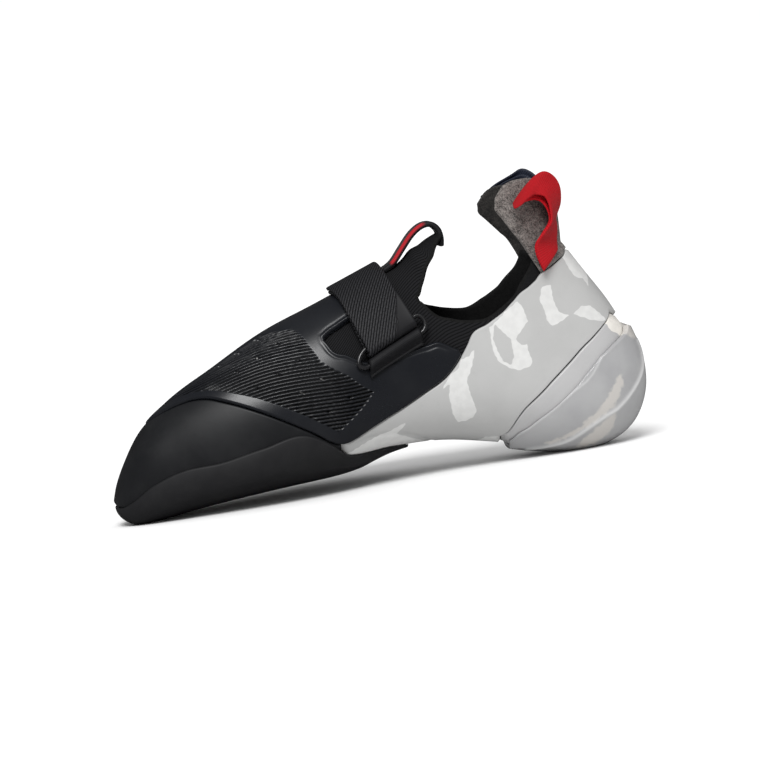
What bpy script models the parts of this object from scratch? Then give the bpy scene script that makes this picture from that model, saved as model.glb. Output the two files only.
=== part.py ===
"""Downturned climbing shoe for the right foot, empty and standing on toe and heel. Metres, +Z up.

Toe towards -X, medial side towards -Y, origin at the heel's rest spot on the floor.
Every skin of the shoe is a sheet on one last, drawn in stations along the shoe and girth shares
round it, and then thickened outwards.
"""

import math
from functools import lru_cache

import bpy
import numpy as np

# Driving sizes
LENGTH = 0.250          # toe tip to back of heel
BALL_WIDTH = 0.090      # across the ball of the foot
INSTEP_DEPTH = 0.100    # last, from the heel seat to the top of the tongue
HEEL_HEIGHT = 0.093     # floor to the heel rand's top edge
HEEL_REST_SHARE = 0.874  # toe tip to the heel's rest spot, share of LENGTH

# Walls and clearances
KNIT_WALL = 0.0018
INSOLE_WALL = 0.0016
RAND_WALL = 0.0017
PATCH_WALL = 0.0024
SOLE_WALL = 0.0038
SOLE_EDGE_WALL = 0.0011
CUP_WALL = 0.0022
CUP_EDGE_WALL = 0.0010
CUP_LIP = 0.0005
GAP = 0.0003
MOST_CLEARED = 0.0008   # most that a skin's inside is lifted where the last bends sharply

# Strap, ring, tabs and loops
STRAP_WALL = 0.0016
RING_WIRE = 0.0022
RING_TAB_WALL = 0.0012
HEEL_TAB_WALL = 0.0022
HEEL_TAB_TOP = (-0.0143, 0.1276)
HEEL_TAB_WIDTH = 0.031
HEEL_TAB_ROUNDING = 0.007
FAR_TAB_LEAN = (-0.003, -0.003)
WEBBING_WIDTH = 0.012
WEBBING_WALL = 0.0012
TONGUE_LOOP_WIDTH = 0.013
TONGUE_LOOP_WALL = 0.0018

# Sections of the last, toe to back of collar. Columns:
#   station
#   bottom and top x, from the toe, shares of LENGTH
#   bottom z, share of HEEL_HEIGHT, and depth from bottom to top, share of INSTEP_DEPTH
#   medial edge, lateral edge, bottom and top y, shares of BALL_WIDTH
#   height of the widest point, medial and lateral, shares of the section
#   squareness below, above medial and above lateral
SECTIONS = (
    (0.00, 0.001, 0.001, 0.125, 0.000, -0.167, -0.167, -0.167, -0.167, 0.50, 0.50, 2.4, 2.0, 2.0),
    (0.02, 0.010, 0.009, 0.082, 0.098, -0.239, -0.094, -0.167, -0.167, 0.45, 0.45, 2.4, 2.0, 2.0),
    (0.05, 0.030, 0.029, 0.057, 0.217, -0.306, -0.011, -0.156, -0.172, 0.40, 0.40, 2.6, 2.0, 2.0),
    (0.09, 0.067, 0.064, 0.062, 0.337, -0.365, 0.080, -0.144, -0.178, 0.36, 0.36, 2.7, 2.0, 1.9),
    (0.14, 0.126, 0.122, 0.082, 0.428, -0.410, 0.174, -0.122, -0.183, 0.33, 0.32, 2.8, 2.0, 1.9),
    (0.22, 0.214, 0.211, 0.103, 0.525, -0.460, 0.302, -0.078, -0.167, 0.31, 0.28, 2.8, 2.0, 1.8),
    (0.31, 0.313, 0.311, 0.119, 0.632, -0.472, 0.411, -0.033, -0.133, 0.30, 0.27, 2.8, 1.9, 1.8),
    (0.40, 0.413, 0.415, 0.133, 0.706, -0.444, 0.467, 0.000, -0.089, 0.32, 0.30, 2.7, 1.9, 1.8),
    (0.49, 0.513, 0.502, 0.176, 0.740, -0.378, 0.461, 0.017, -0.044, 0.36, 0.34, 2.6, 1.9, 1.8),
    (0.57, 0.609, 0.558, 0.168, 0.796, -0.322, 0.411, 0.028, 0.000, 0.38, 0.36, 2.4, 1.9, 1.8),
    (0.64, 0.698, 0.590, 0.121, 0.875, -0.311, 0.367, 0.022, 0.011, 0.36, 0.36, 2.3, 2.0, 1.9),
    (0.70, 0.786, 0.606, 0.061, 0.951, -0.317, 0.333, 0.011, 0.011, 0.36, 0.36, 2.2, 2.1, 2.1),
    (0.76, 0.882, 0.621, 0.033, 0.990, -0.311, 0.317, 0.000, 0.011, 0.36, 0.36, 2.1, 2.2, 2.2),
    (0.82, 0.956, 0.635, 0.123, 0.919, -0.294, 0.300, 0.000, 0.011, 0.37, 0.37, 2.1, 2.3, 2.3),
    (0.87, 0.983, 0.645, 0.295, 0.768, -0.283, 0.289, 0.000, 0.011, 0.39, 0.39, 2.1, 2.4, 2.4),
    (0.91, 0.976, 0.651, 0.479, 0.602, -0.278, 0.283, 0.000, 0.011, 0.42, 0.42, 2.1, 2.4, 2.4),
    (0.945, 0.947, 0.657, 0.683, 0.418, -0.278, 0.283, 0.000, 0.011, 0.45, 0.45, 2.1, 2.4, 2.4),
    (0.975, 0.910, 0.661, 0.858, 0.259, -0.283, 0.289, 0.000, 0.011, 0.47, 0.47, 2.1, 2.4, 2.4),
    (1.00, 0.875, 0.665, 1.022, 0.112, -0.289, 0.294, 0.000, 0.011, 0.48, 0.48, 2.1, 2.4, 2.4),
)

# Edges of the skins: station, girth share medial, girth share lateral (0 sole centre, 1 instep ridge)
FEATHER_EDGE = (
    (0.05, 0.00, 0.00), (0.07, 0.10, 0.10), (0.10, 0.15, 0.15), (0.20, 0.19, 0.19), (0.31, 0.20, 0.20),
    (0.42, 0.19, 0.19), (0.55, 0.17, 0.17), (0.68, 0.15, 0.15), (0.75, 0.12, 0.12), (0.79, 0.00, 0.00),
)
COLLAR_EDGE = (
    (0.00, 0.66, 0.66), (0.50, 0.67, 0.67), (0.59, 0.72, 0.72), (0.62, 0.750, 0.750), (0.64, 0.690, 0.715),
    (0.68, 0.655, 0.688), (0.75, 0.635, 0.668), (0.82, 0.635, 0.665), (0.87, 0.61, 0.635),
    (0.92, 0.56, 0.575), (0.955, 0.48, 0.485), (1.00, 0.34, 0.34),
)
TONGUE_EDGE = (
    (0.00, 0.83, 0.83), (0.50, 0.83, 0.83), (0.59, 0.79, 0.79), (0.62, 0.77, 0.77), (0.65, 0.81, 0.81),
    (0.69, 0.85, 0.85), (0.73, 0.88, 0.88), (0.79, 0.905, 0.905), (0.86, 0.93, 0.93), (0.93, 0.945, 0.945),
)
RAND_EDGE = (
    (0.10, 1.00, 1.00), (0.115, 0.955, 0.955), (0.13, 0.915, 0.915), (0.15, 0.875, 0.87), (0.175, 0.835, 0.82),
    (0.20, 0.785, 0.77), (0.225, 0.72, 0.71), (0.25, 0.66, 0.65), (0.30, 0.55, 0.55), (0.35, 0.445, 0.45),
    (0.395, 0.355, 0.37), (0.45, 0.350, 0.36), (0.50, 0.360, 0.365), (0.55, 0.385, 0.385),
    (0.60, 0.425, 0.425), (0.63, 0.468, 0.468), (0.652, 0.505, 0.505), (0.675, 0.543, 0.54),
    (0.70, 0.582, 0.575), (0.75, 0.612, 0.605), (0.80, 0.622, 0.61), (0.85, 0.612, 0.60),
    (0.90, 0.565, 0.56), (0.935, 0.485, 0.485), (0.965, 0.38, 0.38), (0.982, 0.26, 0.26), (0.993, 0.13, 0.13),
)
SOLE_EDGE = (
    (0.012, 0.30, 0.30), (0.03, 0.37, 0.36), (0.06, 0.42, 0.38), (0.12, 0.47, 0.40), (0.20, 0.45, 0.40),
    (0.27, 0.45, 0.40), (0.35, 0.43, 0.39), (0.385, 0.36, 0.36), (0.41, 0.285, 0.31), (0.44, 0.23, 0.27),
    (0.48, 0.17, 0.22), (0.515, 0.11, 0.15),
)
SOLE_CREASE = (
    (0.012, 0.18, 0.18), (0.05, 0.25, 0.25), (0.11, 0.32, 0.30), (0.20, 0.345, 0.31), (0.31, 0.345, 0.31),
    (0.40, 0.25, 0.27), (0.515, 0.08, 0.11),
)
HEEL_SEAM = (
    (0.40, 0.05, 0.05), (0.55, 0.08, 0.08), (0.655, 0.14, 0.14), (0.69, 0.25, 0.25), (0.735, 0.32, 0.32),
    (0.785, 0.355, 0.355), (0.82, 0.35, 0.35), (0.87, 0.30, 0.30), (0.91, 0.21, 0.21), (0.94, 0.11, 0.11),
    (0.993, 0.05, 0.05),
)
CUP_EDGE = (
    (0.66, 0.09, 0.09), (0.675, 0.155, 0.155), (0.70, 0.205, 0.205), (0.735, 0.255, 0.255),
    (0.78, 0.29, 0.29), (0.83, 0.295, 0.295), (0.87, 0.255, 0.255), (0.90, 0.18, 0.18), (0.925, 0.07, 0.07),
)
# Notch in the back of the toe patch: station, lower and upper line, shares from patch edge to ridge
PATCH_NOTCH = (
    (0.10, 0.55, 0.70), (0.30, 0.60, 0.70), (0.38, 0.640, 0.668), (0.400, 0.640, 0.665), (0.408, 0.570, 0.690),
    (0.430, 0.455, 0.712), (0.462, 0.315, 0.715), (0.50, 0.290, 0.715),
    (0.54, 0.290, 0.715), (0.58, 0.272, 0.715), (0.62, 0.210, 0.715), (0.65, 0.06, 0.715),
)
# Strap: girth share (1 at the ridge), station of its front and back edge
STRAP_EDGES = ((0.55, 0.474, 0.582), (0.66, 0.466, 0.577), (0.75, 0.456, 0.566), (0.82, 0.448, 0.556),
               (0.90, 0.440, 0.550), (1.00, 0.430, 0.546))

# Stations that all the skins share, so that their facets lie parallel
STATIONS = (
    0.0, 0.012, 0.028, 0.045, 0.065, 0.085, 0.108, 0.126, 0.15, 0.18, 0.215, 0.25, 0.285, 0.32, 0.355,
    0.38, 0.40, 0.43, 0.462, 0.50, 0.54, 0.58, 0.62, 0.652, 0.664, 0.68, 0.70, 0.725, 0.75, 0.775, 0.80,
    0.825, 0.85, 0.875, 0.90, 0.925, 0.942, 0.958, 0.972, 0.985, 1.0,
)

# Where the pieces start, end and sit, as stations or girth shares
INSOLE_START = 0.06
INSOLE_END = 0.78
SOLE_START = 0.012
SOLE_TOE_FULL = 0.05
SOLE_TAPER = 0.43
SOLE_END = 0.515
PATCH_START = 0.10
PATCH_LINE = PATCH_START + 0.004    # first shared line behind the patch's front edge
NOTCH_STATION = 0.40
NOTCH_CORNER = 0.408
BAND_END = 0.462
SHANK_JOIN = 0.398
RAND_TOP_STATION = 0.993
PANEL_END = 0.652
THROAT_STATION = 0.62
TONGUE_TIP = 0.90
WINDOW_START = 0.652
WINDOW_END = 0.935
CUP_START = 0.664
CUP_END = 0.922
CUP_LIP_START = 0.84
CUP_LIP_FULL = 0.90
STRAP_ANCHOR = 0.635
STRAP_FREE_END = 0.70
UPPER_BAR = 0.690
STRAP_SLACK = 0.016
STRAP_MIDDLE = 0.53
BAND_FOOT = 0.72        # girth share where the strap starts to climb from the knit to the band
BAND_RISE = 0.09
LOWER_BAR = 0.588
RING_FRONT = 0.446
RING_BACK = 0.602
RING_TAB_FRONT = 0.471
RING_TAB_BACK = 0.577
RING_TAB_TUCK = 0.004   # from the lower bar, as girth shares: end under it, and two rows on the panel
RING_TAB_LAND = 0.039
RING_TAB_END = 0.066
TAB_INNER_EDGE = 0.10
TAB_OUTER_EDGE = 0.42
TAB_NARROWS = 0.76      # share of a heel tab's height where its round top starts
TONGUE_ANCHOR = 0.82

# What carries what, from the same walls
RAND_IN = GAP
RAND_OUT = RAND_IN + RAND_WALL
PATCH_OUT = GAP + PATCH_WALL
SOLE_IN = RAND_OUT + GAP
STRAP_ON_KNIT = GAP + STRAP_WALL / 2
STRAP_ON_PATCH = PATCH_OUT + GAP + STRAP_WALL / 2
STRAP_LAYER = STRAP_WALL + GAP
RING_LIFT = PATCH_OUT + GAP + RING_WIRE / 2 + 0.0004
STATION_GAP = GAP / (0.75 * LENGTH)


def clear_scene():
    for old in list(bpy.data.objects):
        bpy.data.objects.remove(old)


def finish(name, colour, roughness, metallic=0.0):
    """A plain Principled material in the piece's colour."""
    material = bpy.data.materials.get(name) or bpy.data.materials.new(name)
    material.use_nodes = True
    shader = material.node_tree.nodes["Principled BSDF"]
    shader.inputs["Base Color"].default_value = (*colour, 1.0)
    shader.inputs["Roughness"].default_value = roughness
    shader.inputs["Metallic"].default_value = metallic
    return material


def curve_value(table, column, at):
    """Smooth value of one column of a table whose first column rises."""
    xs = [row[0] for row in table]
    ys = [row[column] for row in table]
    at = min(max(at, xs[0]), xs[-1])
    last = len(xs) - 1
    k = max(i for i in range(last) if xs[i] <= at) if at > xs[0] else 0

    def slope(i):
        if i in (0, last):
            j = min(i, last - 1)
            return (ys[j + 1] - ys[j]) / (xs[j + 1] - xs[j])
        back = (ys[i] - ys[i - 1]) / (xs[i] - xs[i - 1])
        ahead = (ys[i + 1] - ys[i]) / (xs[i + 1] - xs[i])
        span = xs[i + 1] - xs[i - 1]
        return (back * (xs[i + 1] - xs[i]) + ahead * (xs[i] - xs[i - 1])) / span

    step = xs[k + 1] - xs[k]
    t = (at - xs[k]) / step
    return (
        (1 + 2 * t) * (1 - t) ** 2 * ys[k]
        + t * (1 - t) ** 2 * step * slope(k)
        + t * t * (3 - 2 * t) * ys[k + 1]
        + t * t * (t - 1) * step * slope(k + 1)
    )


@lru_cache(maxsize=None)
def section(station):
    """Half sections of the last at a station: {side: (girth shares, points, girth)}."""
    row = [curve_value(SECTIONS, column, station) for column in range(1, 14)]
    bottom_x, top_x, bottom_z, depth, medial, lateral, bottom_y, top_y = row[:8]
    high_medial, high_lateral, square_low, square_medial, square_lateral = row[8:]
    x_low = (bottom_x - HEEL_REST_SHARE) * LENGTH
    x_high = (top_x - HEEL_REST_SHARE) * LENGTH
    z_low = bottom_z * HEEL_HEIGHT
    z_high = z_low + depth * INSTEP_DEPTH
    quarter = np.linspace(0.0, math.pi / 2, 37)
    sides = {}
    for side, edge, high, square in (
        (-1, medial, high_medial, square_medial),
        (1, lateral, high_lateral, square_lateral),
    ):
        low_y = bottom_y + (edge - bottom_y) * np.sin(quarter) ** (2 / square_low)
        low_h = high * (1 - np.abs(np.cos(quarter)) ** (2 / square_low))
        high_y = top_y + (edge - top_y) * np.abs(np.cos(quarter)) ** (2 / square)
        high_h = high + (1 - high) * np.sin(quarter) ** (2 / square)
        y = np.concatenate([low_y, high_y[1:]]) * BALL_WIDTH
        h = np.concatenate([low_h, high_h[1:]])
        points = np.stack([x_low + (x_high - x_low) * h, y, z_low + (z_high - z_low) * h], axis=1)
        along = np.concatenate([[0.0], np.cumsum(np.linalg.norm(np.diff(points, axis=0), axis=1))])
        sides[side] = (along / max(along[-1], 1e-9), points, along[-1])
    return sides


def on_last(station, girth):
    """Point of the last. Girth runs 0 at the sole's centre to 1 at the ridge, lateral +, medial -."""
    girth = (girth + 1) % 2 - 1
    shares, points, _ = section(station)[1 if girth >= 0 else -1]
    return np.array([np.interp(abs(girth), shares, points[:, k]) for k in range(3)])


@lru_cache(maxsize=None)
def outward(station, girth):
    """Unit normal of the last, out of the shoe."""
    if station < 1e-6:
        around = sum(outward(0.004, g) for g in (0.0, 0.5, 1.0, -0.5))
        return around / np.linalg.norm(around)
    back, ahead = max(station - 0.004, 0.0), min(station + 0.004, 1.0)
    along = on_last(ahead, girth) - on_last(back, girth)
    round_it = on_last(station, girth + 0.008) - on_last(station, girth - 0.008)
    normal = np.cross(round_it, along)
    return normal / np.linalg.norm(normal)


def above_last(station, girth, height):
    return on_last(station, girth) + outward(round(station, 9), round(girth, 9)) * height


def girth_gap(station):
    """The gap between two skins, as a girth share."""
    sides = section(station)
    return GAP / min(sides[-1][2], sides[1][2])


def add_mesh(name, points, faces, material):
    mesh = bpy.data.meshes.new(name)
    mesh.from_pydata([tuple(p) for p in points], [], faces)
    mesh.update()
    mesh.shade_smooth()
    mesh.set_sharp_from_angle(angle=math.radians(40))
    mesh.materials.append(material)
    piece = bpy.data.objects.new(name, mesh)
    bpy.context.scene.collection.objects.link(piece)
    return piece


def stations_between(start, end):
    """The shared stations between two ends, with the ends themselves."""
    return [start, *(s for s in STATIONS if start + 0.006 < s < end - 0.006), end]


def spread(start, end, count):
    """count steps from start to end, both ends kept."""
    return [start + (end - start) * k / count for k in range(count + 1)]


@lru_cache(maxsize=None)
def bend_table(station):
    """Signed girth from -1 to 2 against a running count that grows fastest where the last bends most."""
    halves = {}
    for side, (shares, points, girth) in section(station).items():
        steps = np.diff(points, axis=0)
        lengths = np.maximum(np.linalg.norm(steps, axis=1), 1e-7)
        heading = steps / lengths[:, None]
        turn = np.arccos(np.clip((heading[1:] * heading[:-1]).sum(axis=1), -1.0, 1.0))
        bend = np.concatenate([[turn[0]], 0.5 * (turn[1:] + turn[:-1]), [turn[-1]]])
        bend = np.interp(np.arange(len(lengths)), np.linspace(0, len(lengths) - 1, len(bend)), bend)
        rate = np.sqrt(np.minimum(bend / lengths, 1 / 0.010) + 1 / 0.060)
        halves[side] = (shares, np.concatenate([[0.0], np.cumsum(rate * lengths)]))
    girths = np.concatenate([-halves[-1][0][::-1], halves[1][0][1:], 2 - halves[-1][0][::-1][1:]])
    top = halves[1][1][-1]
    counts = np.concatenate([
        -halves[-1][1][::-1], halves[1][1][1:], top + halves[-1][1][-1] - halves[-1][1][::-1][1:]])
    return girths, counts


def graded(station, start, end, count):
    """count steps round the last from girth start to end, closer together where it bends more."""
    if section(station)[1][2] < 1e-6:
        return spread(start, end, count)
    girths, counts = bend_table(round(station, 9))
    first, last = np.interp([start, end], girths, counts)
    inner = np.interp(np.linspace(first, last, count + 1)[1:-1], counts, girths)
    return [start, *(float(g) for g in inner), end]


def skin_cells(stations, lines, keep=lambda row, column: True):
    """Quads between station lines and the girth lines that lines(station) gives."""
    grid = [[(s, g) for g in lines(s)] for s in stations]
    cells = []
    for i in range(len(grid) - 1):
        for j in range(len(grid[0]) - 1):
            if keep(0.5 * (stations[i] + stations[i + 1]), j):
                cells.append((grid[i][j], grid[i][j + 1], grid[i + 1][j + 1], grid[i + 1][j]))
    return cells


def facet_errors(places, faces):
    """How far the facets round each place cut inside the last, and how far they stand out of it."""
    dips, bulges = [0.0] * len(places), [0.0] * len(places)
    for face in faces:
        start = next(places[k][1] for k in face if places[k][0] > 0)
        for group in (*zip(face, face[1:] + face[:1]), face):
            at = [places[k] for k in group]
            girths = [start + (g - start + 1) % 2 - 1 for s, g in at if s > 0]
            s = sum(s for s, _ in at) / len(at)
            g = (sum(girths) / len(girths) + 1) % 2 - 1
            flat = sum(on_last(*place) for place in at) / len(at)
            dip = float((on_last(s, g) - flat) @ outward(round(s, 9), round(g, 9)))
            for k in group:
                dips[k] = max(dips[k], min(dip, MOST_CLEARED))
                bulges[k] = max(bulges[k], min(-dip, MOST_CLEARED))
    return dips, bulges


def skin(name, cells, inner, outer, material, on_floor=False, clear=True):
    """A sheet on the last, thickened from inner to outer, and cut flat where it meets the floor."""
    index, places, faces = {}, [], []
    for cell in cells:
        face = []
        for station, girth in cell:
            wrapped = (round(girth, 7) + 1) % 2 - 1
            key = (0.0, 0.0) if station < 1e-9 else (round(station, 7), round(wrapped, 6))
            if key not in index:
                index[key] = len(places)
                places.append(key)
            if index[key] not in face:
                face.append(index[key])
        if len(face) > 2:
            faces.append(face[:3])
        if len(face) > 3:
            faces.append([face[0], face[2], face[3]])
    out_at = outer if callable(outer) else lambda station, girth: outer
    dips, bulges = facet_errors(places, faces)
    outside = [above_last(s, g, out_at(s, g) - bulge) for (s, g), bulge in zip(places, bulges)]
    inside = [above_last(s, g, inner + (dip if clear else 0.0)) for (s, g), dip in zip(places, dips)]
    if on_floor:
        for point in outside:
            point[2] = max(point[2], 0.0)
    count = len(places)
    directed = {(f[k], f[(k + 1) % len(f)]) for f in faces for k in range(len(f))}
    rim = [(a, b) for a, b in directed if (b, a) not in directed]
    walls = [(b, a, a + count, b + count) for a, b in sorted(rim)]
    floor = [tuple(i + count for i in reversed(f)) for f in faces]
    return add_mesh(name, outside + inside, [tuple(f) for f in faces] + floor + walls, material)


def ribbon(name, grid, thickness, material):
    """A band through a grid of points, rows along it and columns across it."""
    grid = np.array(grid)
    along = np.gradient(grid, axis=0)
    across = np.gradient(grid, axis=1)
    normals = np.cross(along, across)
    normals /= np.linalg.norm(normals, axis=2, keepdims=True)
    rows, columns = grid.shape[:2]
    top = (grid + normals * thickness / 2).reshape(-1, 3)
    low = (grid - normals * thickness / 2).reshape(-1, 3)
    count = rows * columns
    faces = []
    for i in range(rows - 1):
        for j in range(columns - 1):
            a, b = i * columns + j, i * columns + j + 1
            c, d = b + columns, a + columns
            faces.append((d, c, b, a))
            faces.append((a + count, b + count, c + count, d + count))
    border = (
        [(i * columns, (i + 1) * columns) for i in range(rows - 1)]
        + [((rows - 1) * columns + j, (rows - 1) * columns + j + 1) for j in range(columns - 1)]
        + [((i + 1) * columns - 1, i * columns - 1) for i in range(rows - 1, 0, -1)]
        + [(j + 1, j) for j in range(columns - 2, -1, -1)]
    )
    for a, b in border:
        faces.append((a, a + count, b + count, b))
    piece = add_mesh(name, list(top) + list(low), faces, material)
    if signed_volume(piece.data) < 0:
        piece.data.flip_normals()
    return piece


def signed_volume(mesh):
    """Positive where the faces point outwards."""
    total = 0.0
    for polygon in mesh.polygons:
        corners = [mesh.vertices[k].co for k in polygon.vertices]
        for k in range(1, len(corners) - 1):
            total += corners[0].dot(corners[k].cross(corners[k + 1]))
    return total


def both(table, station, shift=0.0):
    """Medial and lateral girth of an edge table, moved by a share."""
    return curve_value(table, 1, station) + shift, curve_value(table, 2, station) + shift


def build_upper(material):
    """Knitted bootie with its tongue, open at the collar and under the foot."""
    stations = list(STATIONS)

    def lines(s):
        feather_m, feather_l = both(FEATHER_EDGE, s) if 0.05 < s < 0.79 else (0.0, 0.0)
        collar_m, collar_l = both(COLLAR_EDGE, s)
        tongue_m, tongue_l = both(TONGUE_EDGE, s)
        side_l = graded(s, feather_l, collar_l, 6)
        throat_l = graded(s, collar_l, tongue_l, 1)
        tongue = graded(s, tongue_l, 2 - tongue_m, 5)
        throat_m = graded(s, 2 - tongue_m, 2 - collar_m, 1)
        side_m = graded(s, 2 - collar_m, 2 - feather_m, 6)
        return side_l + throat_l[1:] + tongue[1:] + throat_m[1:] + side_m[1:]

    def keep(s, column):
        if s < THROAT_STATION:
            return True
        if 7 <= column < 12:
            return s < TONGUE_TIP
        return column < 6 or column >= 13

    cells = skin_cells(stations, lines, keep)
    return skin("upper_bootie", cells, -KNIT_WALL, 0.0, material, clear=False)


def build_insole(material):
    """Board that closes the bootie underneath, inside the feather edge."""
    stations = stations_between(INSOLE_START, INSOLE_END)

    def lines(s):
        clearance = 1.3 * girth_gap(s)
        medial, lateral = both(FEATHER_EDGE, s, -clearance)
        return graded(s, -medial, lateral, 4)

    return skin("insole", skin_cells(stations, lines), -GAP / 2 - INSOLE_WALL, -GAP / 2, material,
                clear=False)


def sole_lines(s):
    """Girth lines of the outsole from edge to edge, with its thickness creases among them."""
    edge_m, edge_l = both(SOLE_EDGE, s)
    crease_m, crease_l = both(SOLE_CREASE, s)
    middle = graded(s, -crease_m, 0.0, 4) + graded(s, 0.0, crease_l, 4)[1:]
    return graded(s, -edge_m, -crease_m, 2)[:-1] + middle + graded(s, crease_l, edge_l, 2)[1:]


def build_toe_rand(material):
    """Rubber cup round the toe and under the ball, up to the toe patch."""
    stations = [*stations_between(0.0, PATCH_START),
                *stations_between(PATCH_LINE, SHANK_JOIN - STATION_GAP)]

    def lines(s):
        medial, lateral = both(RAND_EDGE, s, -girth_gap(s) / 2) if s > PATCH_START else (1.0, 1.0)
        low = sole_lines(s)
        return graded(s, -medial, low[0], 5) + low[1:-1] + graded(s, low[-1], lateral, 5)

    return skin("toe_rand", skin_cells(stations, lines), RAND_IN, RAND_OUT, material)


def build_toe_patch(material):
    """Moulded rubber over the toes, running back as a band over the instep and a panel down each side."""
    stations = [PATCH_START + STATION_GAP, *stations_between(PATCH_LINE, NOTCH_STATION),
                *stations_between(NOTCH_CORNER, PANEL_END)]

    def lines(s):
        half_gap = girth_gap(s) / 2
        medial, lateral = both(RAND_EDGE, s, half_gap)
        low, high = curve_value(PATCH_NOTCH, 1, s), curve_value(PATCH_NOTCH, 2, s)
        medial, lateral = min(medial, 0.995), min(lateral, 0.995)
        inner_m, inner_l = 1 - medial, 1 - lateral
        panel_l = graded(s, lateral, lateral + low * inner_l, 4)
        notch_l = lateral + high * inner_l
        notch_m = 2 - (medial + high * inner_m)
        band = graded(s, notch_l, notch_m, 6)
        panel_m = graded(s, 2 - (medial + low * inner_m), 2 - medial, 4)
        return panel_l + band + panel_m

    def keep(s, column):
        if s < NOTCH_STATION:
            return True
        if column in (4, 11):
            return False
        return s < BAND_END if 4 < column < 11 else True

    return skin("toe_patch", skin_cells(stations, lines, keep), GAP, PATCH_OUT, material)


def build_outsole(material):
    """Half sole from the toe to the arch, thick underneath and skived to an edge up the sides."""
    stations = stations_between(SOLE_START, SOLE_END)

    def outer(s, girth):
        column = 1 if girth < 0 else 2
        crease = curve_value(SOLE_CREASE, column, s)
        edge = curve_value(SOLE_EDGE, column, s)
        share = min(max((abs(girth) - crease) / (edge - crease), 0.0), 1.0)
        arch = (s - SOLE_TAPER) / (SOLE_END - SOLE_TAPER)
        toe = (SOLE_TOE_FULL - s) / (SOLE_TOE_FULL - SOLE_START)
        ends = max(arch, toe, 0.0)
        wall = SOLE_WALL + (SOLE_EDGE_WALL - SOLE_WALL) * max(share, ends)
        return SOLE_IN + wall

    return skin("outsole", skin_cells(stations, sole_lines), SOLE_IN, outer, material, on_floor=True)


def build_heel_rand(material):
    """Tensioned rand from the arch round the heel, with a window for the heel base."""
    stations = [SHANK_JOIN, *stations_between(NOTCH_CORNER, WINDOW_END)[:-1],
                *stations_between(WINDOW_END, RAND_TOP_STATION)]

    def lines(s):
        clearance = girth_gap(s) / 2
        top_m, top_l = both(RAND_EDGE, s, -clearance)
        seam_m, seam_l = both(HEEL_SEAM, s, clearance)
        low = graded(s, -seam_m, 0.0, 3)[1:] + graded(s, 0.0, seam_l, 3)[1:]
        return graded(s, -top_m, -seam_m, 5) + low + graded(s, seam_l, top_l, 5)[1:]

    def keep(s, column):
        return not (WINDOW_START < s < WINDOW_END and 5 <= column < 11)

    return skin("heel_rand", skin_cells(stations, lines, keep), RAND_IN, RAND_OUT, material)


def cup_lines(s):
    """Girth lines of the heel cup from edge to edge."""
    medial, lateral = both(CUP_EDGE, s)
    return graded(s, -medial, 0.0, 5) + graded(s, 0.0, lateral, 5)[1:]


def build_heel_base(material):
    """Rubber under and behind the heel, in the rand's window."""
    stations = [WINDOW_START + STATION_GAP, *stations_between(CUP_START, CUP_END), WINDOW_END - STATION_GAP]

    def lines(s):
        medial, lateral = both(HEEL_SEAM, s, -girth_gap(s) / 2)
        low = cup_lines(s)
        return [-medial, 0.5 * (low[0] - medial), *low, 0.5 * (low[-1] + lateral), lateral]

    return skin("heel_base", skin_cells(stations, lines), RAND_IN, RAND_OUT, material)


def build_heel_cup(material):
    """Clear moulded cup over the heel base, thicker below its raised line."""
    stations = stations_between(CUP_START, CUP_END)

    def outer(s, girth):
        edge = curve_value(CUP_EDGE, 1, s)
        share = min(max((abs(girth) / edge - 0.5) / 0.5, 0.0), 1.0)
        lip = min(max((s - CUP_LIP_START) / (CUP_LIP_FULL - CUP_LIP_START), 0.0), 1.0)
        return SOLE_IN + CUP_WALL + (CUP_EDGE_WALL - CUP_WALL) * share * (1 - lip) + CUP_LIP * lip

    return skin("heel_cup", skin_cells(stations, cup_lines), SOLE_IN, outer, material, on_floor=True,
                clear=False)


def strap_height(girth):
    """Middle of the strap's under layer above the last: on the knit low down, over the band on top."""
    share = min(max((abs(girth) - BAND_FOOT) / BAND_RISE, 0.0), 1.0)
    share = share * share * (3 - 2 * share)
    return STRAP_ON_KNIT + (STRAP_ON_PATCH - STRAP_ON_KNIT) * share


def strap_row(girth, height, columns=5):
    """Points across the strap at one girth, on the medial side where girth is negative."""
    at = min(max(abs(girth), STRAP_EDGES[0][0]), 1.0)
    front, back = (curve_value(STRAP_EDGES, column, at) for column in (1, 2))
    return [above_last(s, girth, height) for s in spread(front, back, columns - 1)]


def build_strap(material):
    """One strap: lateral anchor, over the instep, round the ring's upper bar and back over itself."""
    half_girth = section(STRAP_MIDDLE)[-1][2]
    turn = RING_WIRE / 2 + GAP + STRAP_WALL / 2
    rows = []
    for girth in spread(STRAP_ANCHOR, 1.0, 7):
        rows.append(strap_row(girth, strap_height(girth)))
    under = (0.95, 0.90, 0.85, 0.80, 0.755, BAND_FOOT)
    rise_from = 0.79
    for girth in under:
        rows.append(strap_row(-girth, strap_height(girth)))
    for k in range(9):
        angle = math.pi * k / 8
        girth = UPPER_BAR - STRAP_SLACK - turn * math.sin(angle) / half_girth
        rows.append(strap_row(-girth, RING_LIFT - turn * math.cos(angle)))
    rows.append(strap_row(-(UPPER_BAR + 0.006), RING_LIFT + turn))
    for girth in reversed(under):
        rise = max(0.0, (rise_from - girth) / (rise_from - UPPER_BAR))
        on_knit = STRAP_ON_KNIT + STRAP_LAYER
        lifted = on_knit + rise * (RING_LIFT + turn - on_knit)
        rows.append(strap_row(-girth, max(strap_height(girth) + STRAP_LAYER, lifted)))
    for girth in reversed(spread(STRAP_FREE_END, 1.0, 6)):
        rows.append(strap_row(girth, strap_height(girth) + STRAP_LAYER))
    return ribbon("strap", rows, STRAP_WALL, material)


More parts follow.
